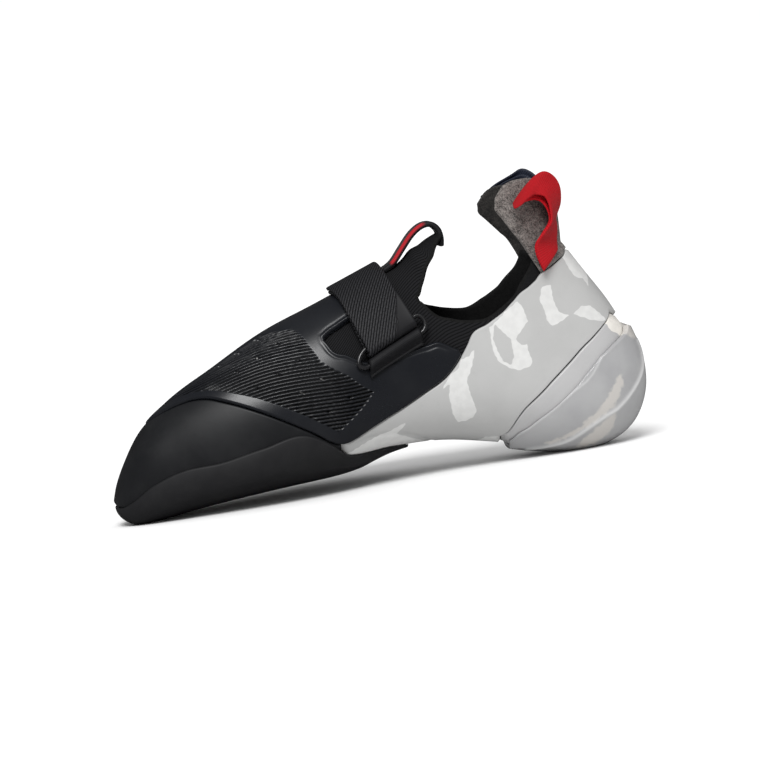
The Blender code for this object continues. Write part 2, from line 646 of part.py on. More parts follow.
def ring_path():
    """Centre line of the ring as (station, girth) pairs, a rectangle with round corners."""
    corner_s, corner_g = 0.020, 0.036
    corners = (
        (RING_FRONT + corner_s, UPPER_BAR - corner_g, 90, 180),
        (RING_FRONT + corner_s, LOWER_BAR + corner_g, 180, 270),
        (RING_BACK - corner_s, LOWER_BAR + corner_g, 270, 360),
        (RING_BACK - corner_s, UPPER_BAR - corner_g, 0, 90),
    )
    path = []
    for s, g, start, end in corners:
        if path:
            s0, g0 = path[-1]
            s1 = s + corner_s * math.cos(math.radians(start))
            path.extend((s0 + (s1 - s0) * t, g0) for t in (0.25, 0.5, 0.75) if abs(s1 - s0) > 0.05)
        for angle in spread(math.radians(start), math.radians(end), 5):
            path.append((s + corner_s * math.cos(angle), g + corner_g * math.sin(angle)))
    (s0, g0), (s1, _) = path[-1], path[0]
    path.extend((s0 + (s1 - s0) * t, g0) for t in (0.25, 0.5, 0.75))
    return path


def build_ring(material):
    """Wire ring that the strap runs through."""
    path = ring_path()
    centres = np.array([above_last(s, -g, RING_LIFT) for s, g in path])
    sides = 8
    points, faces = [], []
    count = len(path)
    for k, (s, g) in enumerate(path):
        along = centres[(k + 1) % count] - centres[k - 1]
        along /= np.linalg.norm(along)
        up = outward(round(s, 9), round(-g, 9))
        aside = np.cross(along, up)
        aside /= np.linalg.norm(aside)
        up = np.cross(aside, along)
        for j in range(sides):
            angle = 2 * math.pi * j / sides
            points.append(centres[k] + (aside * math.cos(angle) + up * math.sin(angle)) * RING_WIRE / 2)
    for k in range(count):
        for j in range(sides):
            a, b = k * sides + j, k * sides + (j + 1) % sides
            c, d = (b + sides) % (count * sides), (a + sides) % (count * sides)
            faces.append((a, b, c, d))
    piece = add_mesh("strap_ring", points, faces, material)
    if signed_volume(piece.data) < 0:
        piece.data.flip_normals()
    return piece


def build_ring_tab(material):
    """Short tab that holds the ring's lower bar to the side panel."""
    half_girth = section(STRAP_MIDDLE)[-1][2]
    turn = RING_WIRE / 2 + GAP + RING_TAB_WALL / 2
    on_knit = GAP + RING_TAB_WALL / 2
    on_panel = PATCH_OUT + GAP + RING_TAB_WALL / 2

    def row(girth, height):
        return [above_last(s, -girth, height) for s in spread(RING_TAB_FRONT, RING_TAB_BACK, 4)]

    rows = [row(LOWER_BAR - RING_TAB_TUCK, on_knit), row(LOWER_BAR + 0.007, on_knit + 0.0004)]
    for k in range(1, 11):
        angle = math.pi * k / 8
        rows.append(row(LOWER_BAR + turn * math.sin(angle) / half_girth, RING_LIFT - turn * math.cos(angle)))
    rows.append(row(LOWER_BAR - RING_TAB_LAND, on_panel + 0.0002))
    rows.append(row(LOWER_BAR - RING_TAB_END, on_panel))
    return ribbon("ring_tab", rows, RING_TAB_WALL, material)


def heel_tab_grid(side, lean):
    """Middle of a suede flap, from the rand's top edge up over the collar's rim to its round top."""
    middle = GAP + HEEL_TAB_WALL / 2
    foot, rim = [], []
    for girth in spread(TAB_INNER_EDGE, TAB_OUTER_EDGE, 6):
        start = max(s for s in spread(0.90, RAND_TOP_STATION, 186) if curve_value(RAND_EDGE, 1, s) >= girth)
        foot.append(above_last(start + 5 * STATION_GAP, side * girth, middle))
        rim.append(above_last(1.0, side * girth, middle))
    rows = [foot, [(a + b) / 2 for a, b in zip(foot, rim)], rim]
    mean_y = sum(point[1] for point in rim) / len(rim)
    for share in (0.18, 0.38, 0.58, TAB_NARROWS, 0.90, 1.0):
        row = []
        for k, base in enumerate(rim):
            across = 0.5 - k / (len(rim) - 1)
            top = np.array([
                HEEL_TAB_TOP[0] + lean[0] + across * HEEL_TAB_WIDTH,
                0.4 * base[1] + 0.6 * mean_y,
                HEEL_TAB_TOP[1] + lean[1] - HEEL_TAB_ROUNDING * (2 * abs(across)) ** 3,
            ])
            top_share = max(share - TAB_NARROWS, 0.0) / (1 - TAB_NARROWS)
            narrow = (top[0] - HEEL_TAB_TOP[0] - lean[0]) * 0.22 * top_share
            point = base + (top - base) * share
            point[0] -= narrow
            row.append(point)
        rows.append(row)
    return rows


def build_heel_tab(name, grid, material):
    return ribbon(name, grid, HEEL_TAB_WALL, material)


def webbing_loop(name, table, place, width, wall, material):
    """Webbing through the rows of a loop table. place() turns a row and a step off its middle to a point."""
    rows = [(k, *row) for k, row in enumerate(table)]
    grid = []
    for k in range(2 * len(table) - 1):
        *at, across_x, across_y, across_z = (curve_value(rows, column, k / 2) for column in range(1, 7))
        across = np.array([across_x, across_y, across_z])
        across /= np.linalg.norm(across)
        grid.append([place(np.array(at), across * width * t) for t in (-0.5, 0.0, 0.5)])
    return ribbon(name, grid, wall, material)


def on_tongue(row, step):
    """Turns shares from the tongue's anchor, and a step in metres, into a place in the shoe's frame."""
    return on_last(TONGUE_ANCHOR, 1.0) + row * (LENGTH, BALL_WIDTH, INSTEP_DEPTH) + step


def beside_tab(tab, side, lean):
    """Turns x, distance out from a heel tab, and z, in mm, and a step in metres, into a place."""
    tab = np.array(tab)
    low, high = tab[:, :, 2].min(), tab[:, :, 2].max()
    fine = [
        (1 - p) * ((1 - q) * tab[:-1, :-1] + q * tab[:-1, 1:]) + p * ((1 - q) * tab[1:, :-1] + q * tab[1:, 1:])
        for p in spread(0.0, 1.0, 5) for q in spread(0.0, 1.0, 5)
    ]
    fine = np.concatenate([part.reshape(-1, 3) for part in fine])

    def place(row, step):
        x, out, z = row / 1000 + step
        share = min(max((z - low) / (high - low), 0.0), 1.0)
        x, z = x + lean[0] * share, z + lean[1] * share
        nearest = np.argmin((fine[:, 0] - x) ** 2 + (fine[:, 2] - z) ** 2)
        return np.array([x, fine[nearest, 1] + side * out, z])

    return place


# Pull loop. Columns: x, distance out from the heel tab's middle, z, all in mm, then the direction of the
# webbing's width. Up the outer leg, over the top to the tip, and back down behind it.
PULL_LOOP = (
    (-7.3, 5.1, 88.9, 0.73, 0.00, 0.69),
    (-7.9, 6.6, 97.9, 0.99, 0.10, 0.12),
    (-2.1, 8.4, 108.6, 0.80, 0.50, 0.30),
    (-1.6, 9.4, 118.0, 0.75, 0.50, 0.45),
    (-5.7, 9.6, 124.4, 0.50, 0.45, 0.75),
    (-13.2, 9.8, 122.5, 0.35, 0.75, 0.60),
    (-20.2, 9.8, 117.0, 0.10, 0.97, 0.20),
    (-18.7, 9.4, 113.6, 0.10, 0.97, 0.10),
    (-12.9, 8.5, 114.9, 0.30, 0.90, 0.20),
    (-7.6, 5.8, 108.9, 0.85, 0.40, 0.25),
    (-8.0, 4.4, 98.3, 0.99, 0.05, 0.12),
    (-7.3, 3.2, 89.3, 0.73, 0.00, 0.69),
)
# Tongue loop. Columns: x, y, z from the tongue's ridge at its anchor, in shares of LENGTH, BALL_WIDTH and
# INSTEP_DEPTH, then the direction of the webbing's width. Along the ridge, up, over and down behind it.
TONGUE_LOOP = (
    (-0.0870, -0.004, -0.069, 0.0, 1.0, 0.0),
    (-0.0670, -0.004, -0.046, 0.0, 1.0, 0.0),
    (-0.0470, -0.003, 0.002, 0.0, 1.0, 0.0),
    (-0.0254, -0.002, 0.061, 0.0, 1.0, 0.0),
    (-0.0054, -0.001, 0.093, 0.0, 1.0, 0.0),
    (0.0122, -0.001, 0.096, 0.0, 1.0, 0.0),
    (0.0242, -0.001, 0.068, 0.0, 1.0, 0.0),
    (0.0274, -0.001, 0.028, 0.0, 1.0, 0.0),
    (0.0254, -0.001, -0.012, 0.0, 1.0, 0.0),
)


def main():
    clear_scene()
    knit = finish("black_knit", (0.015, 0.015, 0.017), 0.85)
    board = finish("insole_board", (0.05, 0.05, 0.055), 0.9)
    rubber = finish("black_rubber", (0.022, 0.022, 0.024), 0.6)
    moulded = finish("moulded_black_rubber", (0.016, 0.017, 0.020), 0.4)
    sole_rubber = finish("sole_rubber", (0.028, 0.028, 0.028), 0.7)
    camo = finish("grey_camouflage_rubber", (0.56, 0.57, 0.56), 0.5)
    clear = finish("clear_grey_rubber", (0.50, 0.51, 0.54), 0.2)
    strap_cloth = finish("black_webbing", (0.02, 0.02, 0.022), 0.7)
    wire = finish("black_wire", (0.02, 0.02, 0.022), 0.3)
    suede = finish("heather_suede", (0.22, 0.20, 0.19), 0.95)
    red = finish("red_webbing", (0.62, 0.01, 0.02), 0.6)
    navy = finish("navy_webbing", (0.02, 0.025, 0.04), 0.7)

    build_upper(knit)
    build_insole(board)
    build_toe_rand(rubber)
    build_toe_patch(moulded)
    build_outsole(sole_rubber)
    build_heel_rand(camo)
    build_heel_base(camo)
    build_heel_cup(clear)
    build_strap(strap_cloth)
    build_ring(wire)
    build_ring_tab(strap_cloth)
    for name, side, lean, colour in (("medial", -1, (0.0, 0.0), red), ("lateral", 1, FAR_TAB_LEAN, navy)):
        tab = heel_tab_grid(side, lean)
        build_heel_tab(f"heel_tab_{name}", tab, suede)
        place = beside_tab(tab, side, lean)
        webbing_loop(f"pull_loop_{name}", PULL_LOOP, place, WEBBING_WIDTH, WEBBING_WALL, colour)
    webbing_loop("tongue_loop", TONGUE_LOOP, on_tongue, TONGUE_LOOP_WIDTH, TONGUE_LOOP_WALL, strap_cloth)


main()
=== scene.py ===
"""Looks of the climbing shoe: fine skins drawn on the same last as the solids, with webbing, suede and
rubber. Metres, +Z up. Toe towards -X, medial side towards -Y."""

import math
from functools import lru_cache

import bpy
import numpy as np
from mathutils import Matrix, Vector, kdtree

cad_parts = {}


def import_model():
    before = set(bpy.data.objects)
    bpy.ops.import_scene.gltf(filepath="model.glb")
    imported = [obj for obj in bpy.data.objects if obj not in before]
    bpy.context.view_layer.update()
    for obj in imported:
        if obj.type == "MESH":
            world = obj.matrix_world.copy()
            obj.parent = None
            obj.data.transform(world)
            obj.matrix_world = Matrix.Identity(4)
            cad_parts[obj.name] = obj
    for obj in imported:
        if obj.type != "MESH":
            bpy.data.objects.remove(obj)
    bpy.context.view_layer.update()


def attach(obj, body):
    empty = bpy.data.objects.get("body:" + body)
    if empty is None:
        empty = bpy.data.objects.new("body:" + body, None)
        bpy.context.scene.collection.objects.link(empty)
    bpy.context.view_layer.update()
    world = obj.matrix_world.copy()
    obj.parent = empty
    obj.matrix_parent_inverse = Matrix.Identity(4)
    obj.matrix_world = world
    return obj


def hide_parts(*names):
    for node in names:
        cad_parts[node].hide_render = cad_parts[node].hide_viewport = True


# Driving sizes
LENGTH = 0.250          # toe tip to back of heel
BALL_WIDTH = 0.090      # across the ball of the foot
INSTEP_DEPTH = 0.100    # last, from the heel seat to the top of the tongue
HEEL_HEIGHT = 0.093     # floor to the heel rand's top edge
HEEL_REST_SHARE = 0.874  # toe tip to the heel's rest spot, share of LENGTH

# Walls and clearances
KNIT_WALL = 0.0018
INSOLE_WALL = 0.0016
RAND_WALL = 0.0017
PATCH_WALL = 0.0024
SOLE_WALL = 0.0038
SOLE_EDGE_WALL = 0.0011
CUP_WALL = 0.0022
CUP_EDGE_WALL = 0.0010
CUP_LIP = 0.0005
GAP = 0.0003

# Strap, ring, tabs and loops
STRAP_WALL = 0.0016
RING_WIRE = 0.0022
RING_TAB_WALL = 0.0012
HEEL_TAB_WALL = 0.0022
HEEL_TAB_TOP = (-0.0150, 0.1276)
HEEL_TAB_WIDTH = 0.033
HEEL_TAB_ROUNDING = 0.007
TAB_NARROWS_AT = 0.76     # share of the tab's height where its sides turn in, and by how much
TAB_NARROWING = 0.22
FAR_TAB_LEAN = (-0.003, -0.003)
WEBBING_WIDTH = 0.012
WEBBING_WALL = 0.0012
TONGUE_LOOP_WIDTH = 0.013
TONGUE_LOOP_WALL = 0.0026

# Sections of the last, toe to back of collar. Columns:
#   station
#   bottom and top x, from the toe, shares of LENGTH
#   bottom z, share of HEEL_HEIGHT, and depth from bottom to top, share of INSTEP_DEPTH
#   medial edge, lateral edge, bottom and top y, shares of BALL_WIDTH
#   height of the widest point, medial and lateral, shares of the section
#   squareness below, above medial and above lateral
SECTIONS = (
    (0.00, 0.001, 0.001, 0.125, 0.000, -0.167, -0.167, -0.167, -0.167, 0.50, 0.50, 2.4, 2.0, 2.0),
    (0.02, 0.010, 0.009, 0.082, 0.098, -0.239, -0.094, -0.167, -0.167, 0.45, 0.45, 2.4, 2.0, 2.0),
    (0.05, 0.030, 0.029, 0.057, 0.217, -0.306, -0.011, -0.156, -0.172, 0.40, 0.40, 2.6, 2.0, 2.0),
    (0.09, 0.067, 0.064, 0.062, 0.337, -0.365, 0.080, -0.144, -0.178, 0.36, 0.36, 2.7, 2.0, 1.9),
    (0.14, 0.126, 0.122, 0.082, 0.428, -0.410, 0.174, -0.122, -0.183, 0.33, 0.32, 2.8, 2.0, 1.9),
    (0.22, 0.214, 0.211, 0.103, 0.525, -0.460, 0.302, -0.078, -0.167, 0.31, 0.28, 2.8, 2.0, 1.8),
    (0.31, 0.313, 0.311, 0.119, 0.632, -0.472, 0.411, -0.033, -0.133, 0.30, 0.27, 2.8, 1.9, 1.8),
    (0.40, 0.413, 0.415, 0.133, 0.706, -0.444, 0.467, 0.000, -0.089, 0.32, 0.30, 2.7, 1.9, 1.8),
    (0.49, 0.513, 0.502, 0.176, 0.740, -0.378, 0.461, 0.017, -0.044, 0.36, 0.34, 2.6, 1.9, 1.8),
    (0.57, 0.609, 0.558, 0.168, 0.796, -0.322, 0.411, 0.028, 0.000, 0.38, 0.36, 2.4, 1.9, 1.8),
    (0.64, 0.698, 0.590, 0.121, 0.875, -0.311, 0.367, 0.022, 0.011, 0.36, 0.36, 2.3, 2.0, 1.9),
    (0.70, 0.786, 0.606, 0.061, 0.951, -0.317, 0.333, 0.011, 0.011, 0.36, 0.36, 2.2, 2.1, 2.1),
    (0.76, 0.882, 0.621, 0.033, 0.990, -0.311, 0.317, 0.000, 0.011, 0.36, 0.36, 2.1, 2.2, 2.2),
    (0.82, 0.956, 0.635, 0.123, 0.919, -0.294, 0.300, 0.000, 0.011, 0.37, 0.37, 2.1, 2.3, 2.3),
    (0.87, 0.983, 0.645, 0.295, 0.768, -0.283, 0.289, 0.000, 0.011, 0.39, 0.39, 2.1, 2.4, 2.4),
    (0.91, 0.976, 0.651, 0.479, 0.602, -0.278, 0.283, 0.000, 0.011, 0.42, 0.42, 2.1, 2.4, 2.4),
    (0.945, 0.947, 0.657, 0.683, 0.418, -0.278, 0.283, 0.000, 0.011, 0.45, 0.45, 2.1, 2.4, 2.4),
    (0.975, 0.910, 0.661, 0.858, 0.259, -0.283, 0.289, 0.000, 0.011, 0.47, 0.47, 2.1, 2.4, 2.4),
    (1.00, 0.875, 0.665, 1.022, 0.112, -0.289, 0.294, 0.000, 0.011, 0.48, 0.48, 2.1, 2.4, 2.4),
)

# Edges of the skins: station, girth share medial, girth share lateral (0 sole centre, 1 instep ridge).
# A table with one share has it on both sides.
FEATHER_EDGE = (
    (0.05, 0.00), (0.07, 0.10), (0.10, 0.15), (0.20, 0.19), (0.31, 0.20), (0.42, 0.19), (0.55, 0.17),
    (0.68, 0.15), (0.75, 0.12), (0.79, 0.00),
)
COLLAR_EDGE = (
    (0.00, 0.66, 0.66), (0.50, 0.67, 0.67), (0.59, 0.72, 0.72), (0.62, 0.750, 0.750), (0.64, 0.690, 0.715),
    (0.68, 0.655, 0.688), (0.75, 0.635, 0.668), (0.82, 0.635, 0.665), (0.87, 0.61, 0.635),
    (0.92, 0.56, 0.575), (0.955, 0.48, 0.485), (1.00, 0.34, 0.34),
)
TONGUE_EDGE = (
    (0.00, 0.83), (0.50, 0.83), (0.59, 0.79), (0.62, 0.770), (0.65, 0.81), (0.69, 0.85), (0.73, 0.88),
    (0.79, 0.905), (0.86, 0.93), (0.93, 0.945),
)
RAND_EDGE = (
    (0.10, 1.00, 1.00), (0.115, 0.955, 0.955), (0.13, 0.915, 0.915), (0.15, 0.875, 0.87),
    (0.175, 0.835, 0.82), (0.20, 0.785, 0.77), (0.225, 0.72, 0.71), (0.25, 0.66, 0.65), (0.30, 0.55, 0.55),
    (0.35, 0.445, 0.45), (0.395, 0.355, 0.37), (0.45, 0.350, 0.36), (0.50, 0.360, 0.365),
    (0.55, 0.385, 0.385), (0.60, 0.425, 0.425), (0.63, 0.468, 0.468), (0.652, 0.505, 0.505),
    (0.675, 0.543, 0.54), (0.70, 0.582, 0.575), (0.75, 0.612, 0.605), (0.80, 0.622, 0.61),
    (0.85, 0.612, 0.60), (0.90, 0.565, 0.56), (0.935, 0.485, 0.485), (0.965, 0.38, 0.38),
    (0.982, 0.26, 0.26), (0.993, 0.13, 0.13),
)
SOLE_EDGE = (
    (0.012, 0.30, 0.30), (0.03, 0.37, 0.36), (0.06, 0.42, 0.38), (0.12, 0.47, 0.40), (0.20, 0.45, 0.40),
    (0.27, 0.45, 0.40), (0.35, 0.43, 0.39), (0.385, 0.36, 0.36), (0.41, 0.285, 0.31), (0.44, 0.23, 0.27),
    (0.48, 0.17, 0.22), (0.515, 0.11, 0.15),
)
SOLE_CREASE = (
    (0.012, 0.18, 0.18), (0.05, 0.25, 0.25), (0.11, 0.32, 0.30), (0.20, 0.345, 0.31), (0.31, 0.345, 0.31),
    (0.40, 0.25, 0.27), (0.515, 0.08, 0.11),
)
HEEL_SEAM = (
    (0.40, 0.05), (0.55, 0.08), (0.655, 0.14), (0.69, 0.243), (0.735, 0.317), (0.785, 0.358),
    (0.82, 0.361), (0.87, 0.319), (0.91, 0.229), (0.94, 0.11), (0.993, 0.05),
)
CUP_EDGE = (
    (0.66, 0.09), (0.675, 0.155), (0.70, 0.205), (0.735, 0.255), (0.78, 0.29), (0.83, 0.295),
    (0.87, 0.255), (0.90, 0.18), (0.925, 0.07),
)
# Notch in the back of the toe patch: station, lower and upper line, shares from patch edge to ridge
PATCH_NOTCH = (
    (0.10, 0.55, 0.70), (0.30, 0.60, 0.70), (0.38, 0.630, 0.656), (0.400, 0.630, 0.655),
    (0.408, 0.565, 0.668), (0.430, 0.492, 0.680), (0.462, 0.385, 0.690), (0.50, 0.335, 0.705),
    (0.54, 0.305, 0.715), (0.58, 0.272, 0.715), (0.62, 0.210, 0.715), (0.65, 0.06, 0.715),
)
# Strap: girth share (1 at the ridge), station of its front and back edge
STRAP_EDGES = ((0.55, 0.474, 0.582), (0.66, 0.466, 0.577), (0.75, 0.456, 0.566), (0.82, 0.448, 0.556),
               (0.90, 0.440, 0.550), (1.00, 0.430, 0.546))

# Where the pieces start, end and sit, as stations or girth shares
PATCH_START = 0.10
NOTCH_STATION = 0.40
NOTCH_CORNER = 0.408
BAND_END = 0.462
SHANK_JOIN = 0.398
RAND_TOP_STATION = 0.993
PANEL_END = 0.652
THROAT_STATION = 0.62
TONGUE_TIP = 0.93
WINDOW_START = 0.652
WINDOW_END = 0.935
CUP_START = 0.664
CUP_END = 0.922
STRAP_ANCHOR = 0.635
STRAP_FREE_END = 0.70
UPPER_BAR = 0.690
STRAP_SLACK = 0.016
LOWER_BAR = 0.622
RING_FRONT = 0.446
RING_BACK = 0.602
RING_TILT = 0.050        # girth by which the ring's front end hangs lower
RING_STATION = 0.53      # where the girth round the ring is measured
RING_CORNER = (0.020, 0.036)     # radius of the ring's corners, as station and girth
HOLDER_SPAN = (0.463, 0.581)     # front and back edge of the ring's tab
STRAP_OFF_BAND = 0.84    # girth where the strap leaves the band for the ring
KNIT_TO_BAND = (0.72, 0.09)      # girth where the strap starts to climb onto the band, and over how much
TAB_INNER_EDGE = 0.10
TAB_OUTER_EDGE = 0.42
INSOLE_SPAN = (0.06, 0.78)
SOLE_SPAN = (0.012, 0.515)
SOLE_FULL_SPAN = (0.05, 0.43)    # where the sole has its full wall
CUP_LIP_SPAN = (0.84, 0.90)      # where the cup's back edge thins to its lip

# What carries what, from the same walls
RAND_IN = GAP
RAND_OUT = RAND_IN + RAND_WALL
PATCH_OUT = GAP + PATCH_WALL
SOLE_IN = RAND_OUT + GAP
STRAP_ON_KNIT = GAP + STRAP_WALL / 2
STRAP_ON_PATCH = PATCH_OUT + GAP + STRAP_WALL / 2
STRAP_LAYER = STRAP_WALL + GAP
RING_LIFT = PATCH_OUT + GAP + RING_WIRE / 2 + 0.0004
STATION_GAP = GAP / (0.75 * LENGTH)

# Fine grid of the last, and how the skins' edges are rounded
LAST_ROWS = 501
LAST_COLUMNS = 801
EDGE_SHARE = 0.30       # height of a sheet's cut edge, as a share of its wall

# Ribbed field on the toe patch: lower line and back line as station, girth share
FIELD_LOW = ((0.106, 1.02), (0.15, 0.93), (0.20, 0.83), (0.25, 0.715), (0.30, 0.61), (0.35, 0.505),
             (0.395, 0.405), (0.44, 0.445), (0.465, 0.48))
FIELD_BACK = ((0.30, 1.06), (0.31, 0.95), (0.355, 0.88), (0.385, 0.685), (0.405, 0.635), (0.425, 0.59),
              (0.448, 0.52), (0.465, 0.48))
FIELD_START = 0.106
RIB_PITCH = 0.00160
RIB_DEPTH = 0.00105
SLIT_DEPTH = 0.0009
LIP_HEIGHT = 0.00028    # raised line along the side panel's edge
# Where the tongue, the knit and the far loop differ from the plain last and the near loop
TONGUE_LIFT = 0.0040    # how far the tongue's end stands above the last, and reaches back
TONGUE_REACH = 0.0034
COLLAR_BACK = 0.988     # the knit ends under the rand's top edge at the back
FAR_LOOP_RISE = 4.0     # mm that the far pull loop stands higher than the near one
FAR_TIP = (-2.5, 3.0)   # mm that its tip reaches further forward and up
# Slope of the ribs, seen from the side, by x
RIB_SLOPE = ((-0.215, 0.30), (-0.185, 0.28), (-0.167, 0.275), (-0.157, 0.25), (-0.148, 0.17), (-0.139, 0.06),
             (-0.130, 0.0), (-0.120, -0.03), (-0.111, 0.0), (-0.1035, 0.06), (-0.09, 0.12))
# Painted shade where the strap turns away at a crease: plain, smooth cloth without weave, seen from the side
# in mm
STRAP_CREASE_SHADE = ((-82.5, 100.4), (-79.0, 86.8), (-83.7, 62.7), (-66.6, 67.0), (-72.7, 82.0), (-79.2, 100.8))

# Slits across the ribs, in rows that step towards the toe: first slit's x and z from the side, and how many
SLIT_ROWS = (((-0.143, 0.0720), 4), ((-0.136, 0.0695), 3), ((-0.1285, 0.0617), 3), ((-0.1195, 0.0525), 2),
             ((-0.1092, 0.0427), 2))
SLIT_STEP = (-0.0100, -0.0045)

# Pale patches of the camouflage, outlines seen from the side in mm. The first set repeats on the far side
# at another place, and the second runs on round the heel and under the arch.
PALE_SIDE = (
    ((-48, 55), (-51, 52), (-55, 51), (-57, 47), (-61, 45), (-66, 39), (-62, 41), (-63, 35), (-62, 28),
     (-60, 24), (-56, 24), (-53, 25), (-51, 27), (-53, 36), (-54, 41), (-51, 46), (-49, 51)),
    ((-38, 64), (-31, 69), (-25, 73), (-23, 70), (-22, 63), (-25, 60), (-29, 56), (-27, 53), (-24, 53),
     (-24, 50), (-23, 45), (-24, 43), (-30, 42), (-34, 44), (-38, 47), (-40, 52), (-40, 60), (-40, 63)),
    ((-13, 78), (-9, 78), (-9, 73), (-8, 68), (-7, 65), (-3, 63), (-6, 61), (-11, 59), (-13, 62), (-14, 69),
     (-15, 72)),
    ((-1, 63), (3, 66), (7, 65), (11, 61), (14, 57), (12, 57), (6, 59), (1, 62)),
    ((-85, 28), (-88, 27), (-94, 25), (-93, 23), (-89, 24), (-85, 27)),
)
GREY_ISLAND = ((-37, 64), (-34, 60), (-31, 56), (-31, 52), (-31, 48), (-33, 45), (-36, 47), (-38, 52),
               (-39, 58), (-38, 62))
PALE_ROUND = (
    ((-3, 92), (2, 97), (10, 96), (18, 86), (18, 79), (9, 78), (8, 73), (6, 77), (2, 79), (0, 83), (-1, 86)),
    ((-117, 18), (-111, 20), (-103, 23), (-95, 25), (-88, 23), (-81, 20), (-74, 17), (-70, 14), (-90, 10),
     (-112, 10)),
    ((-51, 13), (-47, 15), (-40, 14), (-40, 8), (-47, 8)),
)
CREAM_BASE = (
    ((13, 56), (18, 60), (24, 54), (27, 46), (23, 45), (18, 50), (15, 52)),
    ((-21, 10), (-14, 11), (-7, 13), (-1, 17), (3, 19), (7, 23), (12, 29), (15, 34), (16, 28), (13, 23),
     (10, 19), (2, 15), (-4, 12), (-11, 10), (-18, 9)),
    ((0, 11), (6, 15), (11, 18), (11, 16), (9, 10), (3, 6), (-3, 5), (-7, 5), (-5, 8)),
)
CUP_CREASE = ((-28, 8), (-20, 8), (-11, 9), (-3, 12), (6, 16), (13, 19), (20, 25), (25, 32), (26, 39),
              (25, 44))
CUP_LINE = ((-24, 20), (-17, 23), (-8, 28), (1, 33), (7, 40), (9, 46), (10, 50))

# Pull loop. Columns: x, distance out from the heel tab's middle, z, all in mm, then the direction of the
# webbing's width. Up the outer leg, over the top to the tip, and back down behind it.
PULL_LOOP = (
    (-7.3, 5.1, 88.9, 0.73, 0.00, 0.69),
    (-7.9, 6.2, 97.0, 0.98, -0.10, 0.15),
    (-4.8, 7.8, 103.0, 0.70, -0.68, 0.12),
    (-2.8, 8.6, 107.0, 0.36, -0.93, 0.10),
    (-1.0, 9.0, 112.5, 0.55, -0.80, 0.20),
    (-0.9, 9.2, 118.0, 0.66, -0.65, 0.38),
    (-2.6, 9.4, 122.2, 0.64, -0.50, 0.58),
    (-6.8, 9.6, 124.6, 0.54, -0.20, 0.82),
    (-11.0, 9.7, 123.4, 0.46, -0.40, 0.80),
    (-16.0, 9.8, 120.0, 0.36, -0.70, 0.62),
    (-20.6, 9.4, 116.6, 0.15, -0.98, 0.15),
    (-18.6, 8.0, 117.2, 0.15, -0.98, 0.15),
    (-13.5, 6.6, 121.0, 0.36, -0.70, 0.62),
    (-7.5, 6.2, 122.2, 0.54, -0.30, 0.80),
    (-3.4, 6.0, 119.0, 0.64, -0.50, 0.50),
    (-2.0, 5.8, 113.0, 0.55, -0.80, 0.20),
    (-3.2, 5.4, 107.0, 0.36, -0.93, 0.10),
    (-5.4, 5.0, 102.0, 0.80, -0.55, 0.12),
    (-8.0, 4.2, 96.5, 0.99, 0.00, 0.12),
    (-7.3, 3.2, 89.3, 0.73, 0.00, 0.69),
)
# Tongue loop. Columns: x, y, z in mm, then the direction of the webbing's width. Along the ridge of the
# tongue, up, over and down behind its end.
TONGUE_LOOP = (
    (-81.5, 0.6, 95.0, 0.0, 1.0, 0.0),
    (-76.5, 0.6, 97.9, 0.0, 1.0, 0.0),
    (-71.5, 0.7, 103.5, 0.0, 1.0, 0.0),
    (-66.1, 0.8, 109.4, 0.0, 1.0, 0.0),
    (-61.1, 0.9, 112.6, 0.0, 1.0, 0.0),
    (-56.7, 0.9, 112.9, 0.0, 1.0, 0.0),
    (-53.7, 0.9, 110.1, 0.0, 1.0, 0.0),
    (-52.9, 0.9, 106.1, 0.0, 1.0, 0.0),
    (-53.4, 0.9, 102.1, 0.0, 1.0, 0.0),
)


def curve_value(table, column, at):
    """Smooth value of one column of a table whose first column rises."""
    xs = [row[0] for row in table]
    ys = [row[column] for row in table]
    at = min(max(at, xs[0]), xs[-1])
    last = len(xs) - 1
    k = max(i for i in range(last) if xs[i] <= at) if at > xs[0] else 0

    def slope(i):
        if i in (0, last):
            j = min(i, last - 1)
            return (ys[j + 1] - ys[j]) / (xs[j + 1] - xs[j])
        back = (ys[i] - ys[i - 1]) / (xs[i] - xs[i - 1])
        ahead = (ys[i + 1] - ys[i]) / (xs[i + 1] - xs[i])
        span = xs[i + 1] - xs[i - 1]
        return (back * (xs[i + 1] - xs[i]) + ahead * (xs[i] - xs[i - 1])) / span

    step = xs[k + 1] - xs[k]
    t = (at - xs[k]) / step
    return (
        (1 + 2 * t) * (1 - t) ** 2 * ys[k]
        + t * (1 - t) ** 2 * step * slope(k)
        + t * t * (3 - 2 * t) * ys[k + 1]
        + t * t * (t - 1) * step * slope(k + 1)
    )


